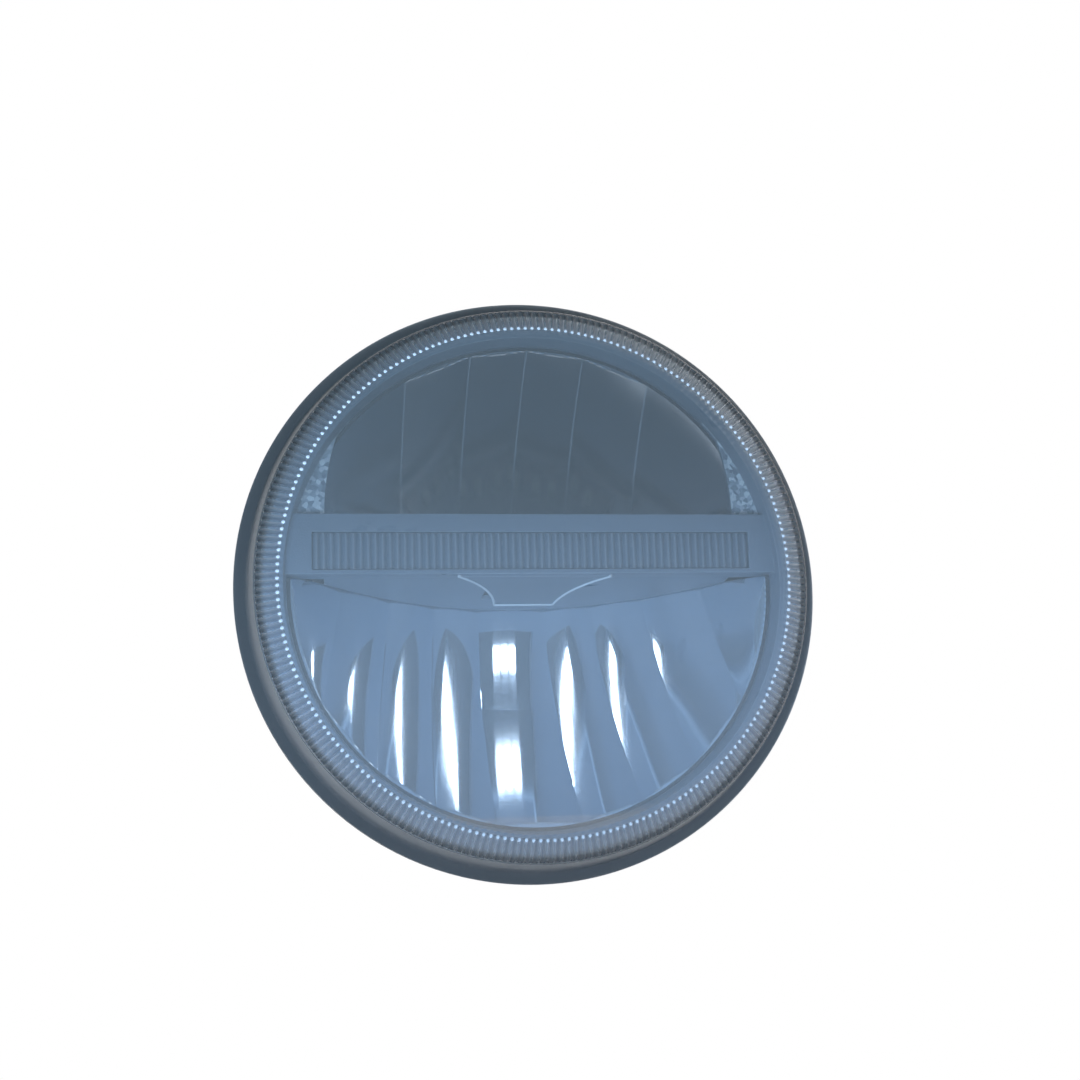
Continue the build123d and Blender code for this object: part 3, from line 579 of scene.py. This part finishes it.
def floor_surface(size):
    """A flat disc as a grid of rings: radius R s and height fixed, closed round."""
    angle = full_turn(FLOOR_SIDES)
    r = size.floor_radius * np.linspace(FLOOR_HOLE, 1, FLOOR_RINGS)[:, None]
    level = np.full((FLOOR_RINGS, FLOOR_SIDES), size.floor_drop)
    rings = np.stack([r * np.cos(angle), size.floor_back + r * np.sin(angle), level], axis=-1)
    points = np.vstack([rings.reshape(-1, 3), (0, size.floor_back, size.floor_drop)])
    quads = grid_quads(FLOOR_RINGS, FLOOR_SIDES, closed=True)
    return points, quads, pole_fans(FLOOR_RINGS, FLOOR_SIDES)[0]


class Tree:
    """A node tree with short ways to add nodes and to fill sockets with links or plain values."""

    def __init__(self, tree, material=None):
        self.nodes = tree.nodes
        self.links = tree.links
        self.material = material

    @property
    def shader(self):
        return self.nodes["Principled BSDF"]

    def fill(self, socket, value):
        """Links a socket, or sets its plain number or colour."""
        if isinstance(value, bpy.types.NodeSocket):
            self.links.new(value, socket)
        elif socket.type == "RGBA":
            socket.default_value = (*value, 1.0)
        else:
            socket.default_value = value

    def add(self, kind, inputs=(), **settings):
        """A shader node with its settings, and its inputs by name or number."""
        node = self.nodes.new("ShaderNode" + kind)
        for name, value in settings.items():
            setattr(node, name, value)
        for key, value in dict(inputs).items():
            self.fill(node.inputs[key], value)
        return node

    def math(self, operation, *values, clamp=False):
        """The result of a math node."""
        node = self.add("Math", enumerate(values), operation=operation, use_clamp=clamp)
        return node.outputs[0]

    def product(self, first, *others):
        """Values multiplied in order."""
        for value in others:
            first = self.math("MULTIPLY", first, value)
        return first

    def distance(self, value, place):
        """How far a value lies from a place, to either side."""
        return self.math("ABSOLUTE", self.math("SUBTRACT", value, place))

    def mix(self, share, first, second, blend="MIX"):
        """A colour that goes from the first to the second with a share."""
        node = self.add("MixRGB", enumerate((share, first, second)), blend_type=blend)
        return node.outputs[0]

    def ease(self, value, low, high):
        """A smooth step from 0 at the low value to 1 at the high one."""
        inputs = {"Value": value, "From Min": low, "From Max": high}
        return self.add("MapRange", inputs, interpolation_type="SMOOTHSTEP").outputs["Result"]

    def point(self):
        """The place on the piece, in metres."""
        return self.add("TexCoord").outputs["Object"]

    def axes(self, vector):
        """A vector's X, Y and Z."""
        return self.add("SeparateXYZ", {0: vector}).outputs

    def place(self):
        """X, Y and Z of the place on the piece."""
        return self.axes(self.point())

    def tint_over(self, share, tint):
        """Lays a tint over the base colour by a share."""
        base = self.shader.inputs["Base Color"]
        self.fill(base, self.mix(share, base.links[0].from_socket, tint))

    def show_mix(self, share, first, second):
        """Shows a mix of two shaders by a share."""
        mix = self.add("MixShader", enumerate((share, first, second)))
        self.fill(self.nodes["Material Output"].inputs["Surface"], mix.outputs["Shader"])


def new_group(name, inputs, outputs):
    """An empty node group with its sockets: the group, its tree, what it is given and its results."""
    group = bpy.data.node_groups.new(name, "ShaderNodeTree")
    for in_out, sockets in (("INPUT", inputs), ("OUTPUT", outputs)):
        for socket, kind in sockets.items():
            group.interface.new_socket(socket, in_out=in_out, socket_type="NodeSocket" + kind)
    given = group.nodes.new("NodeGroupInput").outputs
    results = group.nodes.new("NodeGroupOutput").inputs
    return group, Tree(group), given, results


def grain_group():
    """Moulded or cast skin: a fine grain as height, and slow clouds that vary shade and roughness."""
    ranges = ("Grain Size", "Cloud Size", "Shade Range", "Gloss Range", "Roughness")
    inputs = {"Colour": "Color", **dict.fromkeys(ranges, "Float")}
    outputs = {"Colour": "Color", "Roughness": "Float", "Height": "Float"}
    group, tree, given, results = new_group("skin_grain", inputs, outputs)
    point = tree.point()
    noise = {"Vector": point, "Scale": given["Grain Size"], "Detail": 3.0}
    grain = tree.add("TexNoise", noise).outputs["Fac"]
    noise = {"Vector": point, "Scale": given["Cloud Size"], "Detail": 5.0}
    clouds = tree.add("TexNoise", noise).outputs["Fac"]
    centred = tree.math("SUBTRACT", clouds, 0.5)
    shade = tree.math("MULTIPLY_ADD", centred, given["Shade Range"], 1.0)
    tint = tree.add("VectorMath", {0: given["Colour"], "Scale": shade}, operation="SCALE")
    gloss = (given["Gloss Range"], given["Roughness"])
    tree.fill(results["Colour"], tint.outputs[0])
    tree.fill(results["Roughness"], tree.math("MULTIPLY_ADD", centred, *gloss, clamp=True))
    tree.fill(results["Height"], grain)
    return group


def edge_group():
    """Soft edges and a mask for their tint, used for wear and for painted highlights: the normal rounded
    over a radius, and a mask of where it leaves the flat one, broken by noise."""
    inputs = {"Radius": "Float", "Wear": "Float"}
    outputs = {"Mask": "Float", "Normal": "Vector"}
    group, tree, given, results = new_group("edge_wear", inputs, outputs)
    bevel = tree.add("Bevel", {"Radius": given["Radius"]}, samples=WEAR_SAMPLES)
    rounded = bevel.outputs["Normal"]
    flat = tree.add("NewGeometry").outputs["Normal"]
    same = tree.add("VectorMath", {0: rounded, 1: flat}, operation="DOT_PRODUCT")
    apart = tree.math("SUBTRACT", 1.0, same.outputs["Value"])
    noise = tree.add("TexNoise", {"Vector": tree.point(), "Scale": WEAR_SCALE, "Detail": 4.0})
    broken = tree.product(apart, WEAR_GAIN, noise.outputs["Fac"])
    tree.fill(results["Mask"], tree.math("MULTIPLY", broken, given["Wear"], clamp=True))
    tree.fill(results["Normal"], rounded)
    return group


def wear_and_sheen_edges(tree, radius, wear, wear_and_sheen_tint):
    """Rounds a finished skin's edges by their normal and shows its edge tint there: wear on most parts,
    a painted highlight on the bezel.
    """
    group = bpy.data.node_groups.get("edge_wear") or edge_group()
    edges = tree.add("Group", {"Radius": radius, "Wear": wear}, node_tree=group).outputs
    tree.tint_over(edges["Mask"], wear_and_sheen_tint)
    tree.fill(tree.nodes["Bump"].inputs["Normal"], edges["Normal"])


def skin(name, tint, roughness, grain, bump=0.0, shade=0.25, gloss=0.15, clouds=25.0, **plain):
    """A material's tree with the shared skin: varying colour and roughness, and a bump of the fine
    grain. Plain values of the shader are given by name."""
    material = bpy.data.materials.new(name)
    material.use_nodes = True
    tree = Tree(material.node_tree, material)
    for socket, value in plain.items():
        tree.fill(tree.shader.inputs[socket.replace("_", " ")], value)
    values = {"Colour": tint, "Roughness": roughness, "Grain Size": grain, "Cloud Size": clouds}
    ranges = {"Shade Range": shade, "Gloss Range": gloss}
    group = bpy.data.node_groups.get("skin_grain") or grain_group()
    varied = tree.add("Group", values | ranges, node_tree=group).outputs
    tree.fill(tree.shader.inputs["Base Color"], varied["Colour"])
    tree.fill(tree.shader.inputs["Roughness"], varied["Roughness"])
    if bump:
        relief = {"Strength": bump, "Distance": GRAIN_DEPTH, "Height": varied["Height"]}
        tree.fill(tree.shader.inputs["Normal"], tree.add("Bump", relief).outputs["Normal"])
    return tree


def clear_skin(name, tint, roughness, index, clarity):
    """A tinted plastic with a little haze that lets lamps shine through: the shader for every ray
    but shadow rays, which pass."""
    plain = {"IOR": index, "Transmission_Weight": clarity}
    tree = skin(name, tint, roughness, grain=400.0, shade=0.05, gloss=0.03, **plain)
    passing = tree.add("BsdfTransparent", {"Color": tint}).outputs["BSDF"]
    shadow = tree.add("LightPath").outputs["Is Shadow Ray"]
    tree.show_mix(shadow, tree.shader.outputs["BSDF"], passing)
    return tree


def lens_skin(tints):
    """The lens: clear low down and darker towards its top, a painted shade; darker and duller in the
    valleys of its flutes, and frosted on its skirt."""
    tree = clear_skin("smoked_lens", tints.lens_tint, roughness=0.015, index=1.58, clarity=0.90)
    base = tree.shader.inputs["Base Color"]
    rough = tree.shader.inputs["Roughness"]
    # Painted shade: the lens darkens with height
    height = tree.ease(tree.place()["Z"], PAINTED_SHADE_LOW, PAINTED_SHADE_HIGH)
    painted_shade = tree.mix(height, base.links[0].from_socket, tints.lens_painted_shade, "MULTIPLY")
    tree.fill(tree.nodes["Transparent BSDF"].inputs["Color"], painted_shade)
    marks = [tree.add("Attribute", attribute_name=name).outputs["Fac"] for name in LENS_MARKS]
    tree.fill(base, tree.mix(marks[0], painted_shade, tints.groove))
    dull = tree.math("MULTIPLY", marks[0], GROOVE_DULL)
    matt = tree.math("MULTIPLY", marks[1], SKIRT_DULL)
    both = tree.math("ADD", dull, matt)
    tree.fill(rough, tree.math("ADD", both, rough.links[0].from_socket))
    return tree


def strip_skin(tints):
    """The ribbed strip, with a painted highlight on each rib's ridge, paler than the valleys."""
    tree = clear_skin("ribbed_strip", tints.strip_tint, roughness=0.1, index=1.49, clarity=0.6)
    low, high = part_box("position_light_bar")
    half_pitch = (high.x - low.x) / STRIP_RIBS / 2
    from_end = tree.math("SUBTRACT", tree.place()["X"], low.x)
    from_valley = tree.math("PINGPONG", from_end, half_pitch)
    share = tree.math("DIVIDE", from_valley, half_pitch)
    # Painted highlight: pale ridges
    tree.tint_over(tree.math("POWER", share, RIDGE_HIGHLIGHT_POWER), tints.ridge_highlight)
    return tree


def bezel_skin(tints):
    """The grained bezel, with pale cells on the flat pieces that close the upper window's corners:
    painted glints."""
    tree = skin("grained_bezel", tints.bezel, roughness=0.3, grain=1500.0, bump=0.5, shade=0.3, gloss=0.2)
    place = tree.place()
    beyond = tree.math("GREATER_THAN", tree.math("ABSOLUTE", place["X"]), CORNER_INNER)
    above = tree.math("GREATER_THAN", place["Z"], CORNER_FOOT)
    from_face = tree.distance(place["Y"], BEZEL_FRONT + CORNER_SET)
    on_face = tree.math("LESS_THAN", from_face, CORNER_NEAR)
    cells = tree.add("TexVoronoi", {"Vector": tree.point(), "Scale": CORNER_CELLS})
    chance = tree.add("SeparateColor", {"Color": cells.outputs["Color"]}).outputs["Red"]
    lit = tree.math("POWER", chance, CORNER_CONTRAST)
    # Painted glints: random pale cells on the corner pieces
    tree.tint_over(tree.product(beyond, above, on_face, lit), tints.corner_glint)
    return tree


def column_lines(tree, edges):
    """Draws the moulded lines between a bowl's columns, where the coat scatters light instead of
    mirroring it."""
    across = tree.place()["X"]
    nearest = 1.0
    for line in edges:
        nearest = tree.math("MINIMUM", tree.distance(across, line), nearest)
    loss = tree.math("MULTIPLY", tree.math("LESS_THAN", nearest, LINE_HALF), LINE_LOSS)
    tree.fill(tree.shader.inputs["Metallic"], tree.math("SUBTRACT", 1.0, loss))


def lit_skin(tints):
    """Diodes that glow only in the small die at the middle of each lower face."""
    glowing = {"Emission_Strength": DIE_GLOW}
    tree = skin("lit_diode", tints.lit_frame, roughness=0.3, grain=2500.0, bump=0.2, **glowing)
    low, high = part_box("high_beam_leds")
    place = tree.place()
    across = tree.math("PINGPONG", place["X"], DIE_PITCH / 2)
    along = tree.distance(place["Y"], (low.y + high.y) / 2)
    in_width = tree.math("LESS_THAN", across, DIE_HALF)
    in_depth = tree.math("LESS_THAN", along, DIE_DEPTH)
    on_face = tree.math("LESS_THAN", place["Z"], low.z + DIE_SKIN)
    glow = tree.mix(tree.product(in_width, in_depth, on_face), BLACK, tints.lit_diode)
    tree.fill(tree.shader.inputs["Emission Color"], glow)
    return tree


def floor_skin(size):
    """Pale matt floor that keeps its shadow near the headlight and turns white further off, where
    only camera, glossy and transmission rays see the white."""
    tree = skin("pale_floor", size.floor_colour, roughness=0.8, grain=300.0, shade=0.03)
    reach = tree.add("VectorMath", {0: tree.point()}, operation="LENGTH").outputs["Value"]
    fade = tree.ease(reach, size.fade_start, size.fade_end)
    rays = tree.add("LightPath").outputs
    seen = tree.math("MAXIMUM", rays["Is Camera Ray"], rays["Is Glossy Ray"])
    seen = tree.math("MAXIMUM", seen, rays["Is Transmission Ray"])
    white = tree.add("Emission").outputs["Emission"]
    tree.show_mix(tree.product(seen, fade), tree.shader.outputs["BSDF"], white)
    return tree


def studio_world(size):
    """White all round for the camera. For other rays it is white behind the headlight, and in front
    of it a soft blue-grey that darkens upwards."""
    world = bpy.data.worlds.new("studio")
    bpy.context.scene.world = world
    world.use_nodes = True
    tree = Tree(world.node_tree)
    direction = tree.axes(tree.add("TexCoord").outputs["Generated"])
    height = tree.ease(direction["Z"], FRONT_LOW, FRONT_HIGH)
    front = tree.mix(height, size.front_low, size.front_high)
    behind = tree.ease(direction["Y"], WHITE_START, WHITE_END)
    camera_ray = tree.add("LightPath").outputs["Is Camera Ray"]
    white_share = tree.math("MAXIMUM", camera_ray, behind)
    tree.fill(tree.nodes["Background"].inputs["Color"], tree.mix(white_share, front, WHITE))


def soft_lamp(name, place, width, energy):
    """A round white area lamp that looks at the frame's middle."""
    data = bpy.data.lights.new(name, "AREA")
    data.shape = "DISK"
    data.size = width
    data.energy = energy
    lamp = link(bpy.data.objects.new(name, data))
    lamp.location = place
    lamp.rotation_euler = (-Vector(place)).to_track_quat("-Z", "Y").to_euler()
    return lamp


def photo_camera():
    """The camera at the photo's place: yaw and pitch turn the view, and roll turns the picture
    about it."""
    yaw, pitch, roll = (radians(a) for a in (CAMERA_YAW, CAMERA_PITCH, CAMERA_ROLL))
    ahead = np.cos(pitch)
    forward = Vector((np.sin(yaw) * ahead, np.cos(yaw) * ahead, np.sin(pitch)))
    level = Vector((np.cos(yaw), -np.sin(yaw), 0))
    upright = level.cross(forward)
    right = level * np.cos(roll) - upright * np.sin(roll)
    up = level * np.sin(roll) + upright * np.cos(roll)
    data = bpy.data.cameras.new("photo_camera")
    data.lens = CAMERA_LENS
    data.sensor_width = SENSOR_WIDTH
    data.clip_start = CAMERA_NEAR
    camera = link(bpy.data.objects.new("photo_camera", data))
    turn = Matrix((right, up, -forward)).transposed().to_4x4()
    camera.matrix_world = Matrix.Translation(CAMERA_PLACE) @ turn
    bpy.context.scene.camera = camera


def dress(tree, *solids):
    """Gives solids their finish."""
    for name in solids:
        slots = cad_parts[name].data.materials
        slots.clear()
        slots.append(tree.material)


class HEADLIGHT_OT_lens(bpy.types.Operator):
    """The clear front lens with its ring of flutes and beads"""

    bl_idname = "headlight.lens"
    bl_label = "Lens"

    def execute(self, context):
        size = context.scene.headlight_lens
        tints = context.scene.headlight_finishes
        *form, marks = lens_surface(size)
        lens = surface_object("fluted_lens", *form, crease_angle=50)
        for name, share in zip(LENS_MARKS, marks):
            attribute = lens.data.attributes.new(name, "FLOAT", "POINT")
            attribute.data.foreach_set("value", share.astype(np.float32))
        lens.data.materials.append(lens_skin(tints).material)
        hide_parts("lens")
        beads = surface_object("lens_beads", *bead_surface(size), crease_angle=80)
        # Painted glints: the beads are pale and let little light through, so they read as bright dots
        painted_highlight = clear_skin("bead_ring", tints.bead, roughness=0.2, index=1.58, clarity=0.15)
        beads.data.materials.append(painted_highlight.material)
        for obj in (lens, beads):
            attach(obj, "root")
        return {"FINISHED"}


class HEADLIGHT_OT_reflectors(bpy.types.Operator):
    """The mouldings of the two half bowls and their mirror coats"""

    bl_idname = "headlight.reflectors"
    bl_label = "Reflectors"

    def execute(self, context):
        size = context.scene.headlight_bowls
        tints = context.scene.headlight_finishes
        coat = {"grain": 300.0, "shade": 0.12, "gloss": 0.08, "clouds": 18.0}
        satin = skin("satin_coat", tints.satin, roughness=0.15, Metallic=1.0, **coat)
        # Painted light: the lower coat is a paler, bluer copy of the upper one, with a matt share that
        # brightens it
        mirror = skin("mirror_coat", tints.mirror, roughness=0.06, Metallic=0.78, **coat)
        column_lines(satin, size.upper_columns)
        upper = {"side": 1, "fan": 0.0, "ripple": 0.0}
        lower = {"side": -1, "fan": size.lower_fan, "ripple": size.side_pillow}
        for half, form, tree in (("upper", upper, satin), ("lower", lower, mirror)):
            for name in ("columns", "edge", "arches", "arch"):
                form[name] = getattr(size, f"{half}_{name}")
            obj = surface_object(f"{half}_mirror", *coat_surface(size, **form), crease_angle=3)
            obj.data.materials.append(tree.material)
            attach(obj, "root")
        moulding = skin("bowl_moulding", tints.moulding, roughness=0.45, grain=700.0, bump=0.15)
        dress(moulding, "upper_reflector", "lower_reflector")
        return {"FINISHED"}


class HEADLIGHT_OT_bezel(bpy.types.Operator):
    """The dark grained inner bezel"""

    bl_idname = "headlight.bezel"
    bl_label = "Inner bezel"

    def execute(self, context):
        tints = context.scene.headlight_finishes
        bezel = bezel_skin(tints)
        # Pale edges in the lip's colour: partly wear, partly a painted highlight along the bezel's edges
        wear_and_sheen_edges(bezel, radius=0.0004, wear=0.35, wear_and_sheen_tint=tints.lip)
        dress(bezel, "inner_bezel")
        form = lip_surface(context.scene.headlight_shade)
        lip = surface_object("shade_lip", *form, crease_angle=50)
        # Painted highlight: a pale lip along the shade's edge
        painted_highlight = skin("bright_lip", tints.lip, roughness=0.25, grain=1500.0, bump=0.1, shade=0.2, gloss=0.1)
        lip.data.materials.append(painted_highlight.material)
        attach(lip, "root")
        return {"FINISHED"}


class HEADLIGHT_OT_light_bar(bpy.types.Operator):
    """The ribbed strip of the position light"""

    bl_idname = "headlight.light_bar"
    bl_label = "Position light"

    def execute(self, context):
        dress(strip_skin(context.scene.headlight_finishes), "position_light_bar")
        return {"FINISHED"}


class HEADLIGHT_OT_diodes(bpy.types.Operator):
    """Diode boards, the diodes that are off and those that are lit"""

    bl_idname = "headlight.diodes"
    bl_label = "Diodes and boards"

    def execute(self, context):
        tints = context.scene.headlight_finishes
        mask = {"roughness": 0.35, "grain": 1200.0, "bump": 0.1, "shade": 0.1}
        board = skin("black_solder_mask", tints.black_board, **mask)
        dress(board, "low_beam_board", "high_beam_board", "position_light_board")
        window = skin("phosphor_window", tints.phosphor, roughness=0.3, grain=2500.0, bump=0.2)
        dress(window, "low_beam_leds", "position_leds")
        dress(lit_skin(tints), "high_beam_leds")
        return {"FINISHED"}


class HEADLIGHT_OT_rear(bpy.types.Operator):
    """Rear housing, plug socket with its blades, breather and seals"""

    bl_idname = "headlight.rear"
    bl_label = "Rear housing"

    def execute(self, context):
        tints = context.scene.headlight_finishes
        housing = skin("black_moulding", tints.housing, roughness=0.48, grain=1100.0, bump=0.4)
        wear_and_sheen_edges(housing, radius=0.0006, wear=0.5, wear_and_sheen_tint=tints.scuffed)
        dress(housing, "rear_housing")
        socket = skin("socket_plastic", tints.socket, roughness=0.36, grain=1400.0, bump=0.2)
        wear_and_sheen_edges(socket, radius=0.0004, wear=0.3, wear_and_sheen_tint=tints.scuffed)
        dress(socket, "connector_socket")
        blade = skin("tinned_blade", tints.blade, roughness=0.3, grain=900.0, bump=0.1, Metallic=1.0)
        dress(blade, "connector_terminals")
        rubber = skin("black_rubber", tints.rubber, roughness=0.7, grain=800.0, bump=0.5)
        dress(rubber, "vent_cap", "lens_seal", "heat_sink_gasket", "connector_seal")
        return {"FINISHED"}


class HEADLIGHT_OT_heat_sink(bpy.types.Operator):
    """The blasted die-cast heat sink"""

    bl_idname = "headlight.heat_sink"
    bl_label = "Heat sink"

    def execute(self, context):
        tints = context.scene.headlight_finishes
        casting = skin("blasted_casting", tints.cast, roughness=0.5, grain=1300.0, bump=0.6, Metallic=1.0)
        wear_and_sheen_edges(casting, radius=0.0005, wear=0.8, wear_and_sheen_tint=tints.bare_cast)
        dress(casting, "heat_sink")
        return {"FINISHED"}


class HEADLIGHT_OT_driver(bpy.types.Operator):
    """The driver board and its parts"""

    bl_idname = "headlight.driver"
    bl_label = "Driver"

    def execute(self, context):
        tints = context.scene.headlight_finishes
        board = skin("green_solder_mask", tints.green_board, roughness=0.3, grain=1200.0, bump=0.1)
        dress(board, "driver_board")
        choke = skin("moulded_choke", tints.ferrite, roughness=0.5, grain=900.0, bump=0.4)
        dress(choke, "driver_coil")
        can = skin("drawn_can", tints.can, roughness=0.28, grain=500.0, bump=0.1, Metallic=1.0)
        dress(can, "driver_capacitors")
        return {"FINISHED"}


class HEADLIGHT_OT_screws(bpy.types.Operator):
    """All the plated screws"""

    bl_idname = "headlight.screws"
    bl_label = "Screws"

    def execute(self, context):
        tints = context.scene.headlight_finishes
        plated = skin("zinc_plate", tints.steel, roughness=0.32, grain=1600.0, bump=0.2, Metallic=1.0)
        wear_and_sheen_edges(plated, radius=0.0003, wear=0.6, wear_and_sheen_tint=tints.bare_cast)
        dress(plated, *[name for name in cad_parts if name.endswith("_screws")])
        return {"FINISHED"}


class HEADLIGHT_OT_stage(bpy.types.Operator):
    """Floor, world, lamps and camera"""

    bl_idname = "headlight.stage"
    bl_label = "Stage"

    def execute(self, context):
        size = context.scene.headlight_stage
        floor = surface_object("floor", *floor_surface(size), crease_angle=30)
        floor.data.materials.append(floor_skin(size).material)
        floor.visible_diffuse = False
        studio_world(size)
        soft_lamp("key", place=(0.95, -0.45, 0.8), width=0.8, energy=size.key_power)
        fill = soft_lamp("fill", place=(-0.6, -1.0, -0.65), width=0.7, energy=size.fill_power)
        fill.data.color = size.fill_colour
        fill.visible_glossy = False
        fill.visible_transmission = False
        soft_lamp("rim", place=(0.5, 1.2, 0.9), width=0.8, energy=size.rim_power)
        photo_camera()
        context.scene.view_settings.view_transform = "Standard"
        return {"FINISHED"}


OPERATORS = (
    HEADLIGHT_OT_lens,
    HEADLIGHT_OT_reflectors,
    HEADLIGHT_OT_bezel,
    HEADLIGHT_OT_light_bar,
    HEADLIGHT_OT_diodes,
    HEADLIGHT_OT_rear,
    HEADLIGHT_OT_heat_sink,
    HEADLIGHT_OT_driver,
    HEADLIGHT_OT_screws,
    HEADLIGHT_OT_stage,
)
GROUPS = {
    "headlight_lens": LensSizes,
    "headlight_shade": ShadeSizes,
    "headlight_bowls": BowlSizes,
    "headlight_finishes": Finishes,
    "headlight_stage": StageSizes,
}


class HEADLIGHT_PT_panel(bpy.types.Panel):
    """Lists the headlight's pieces"""

    bl_idname = "HEADLIGHT_PT_panel"
    bl_label = "Round Headlight"
    bl_space_type = "VIEW_3D"
    bl_region_type = "UI"
    bl_category = "Headlight"

    def draw(self, context):
        for operator in OPERATORS:
            self.layout.operator(operator.bl_idname)


def register():
    for cls in (*GROUPS.values(), *OPERATORS, HEADLIGHT_PT_panel):
        bpy.utils.register_class(cls)
    for name, cls in GROUPS.items():
        setattr(bpy.types.Scene, name, PointerProperty(type=cls))


def unregister():
    for name in GROUPS:
        delattr(bpy.types.Scene, name)
    for cls in (HEADLIGHT_PT_panel, *OPERATORS, *GROUPS.values()):
        bpy.utils.unregister_class(cls)


def main():
    register()
    for operator in OPERATORS:
        group, name = operator.bl_idname.split(".")
        getattr(getattr(bpy.ops, group), name)()


if __name__ == "__main__":
    main()
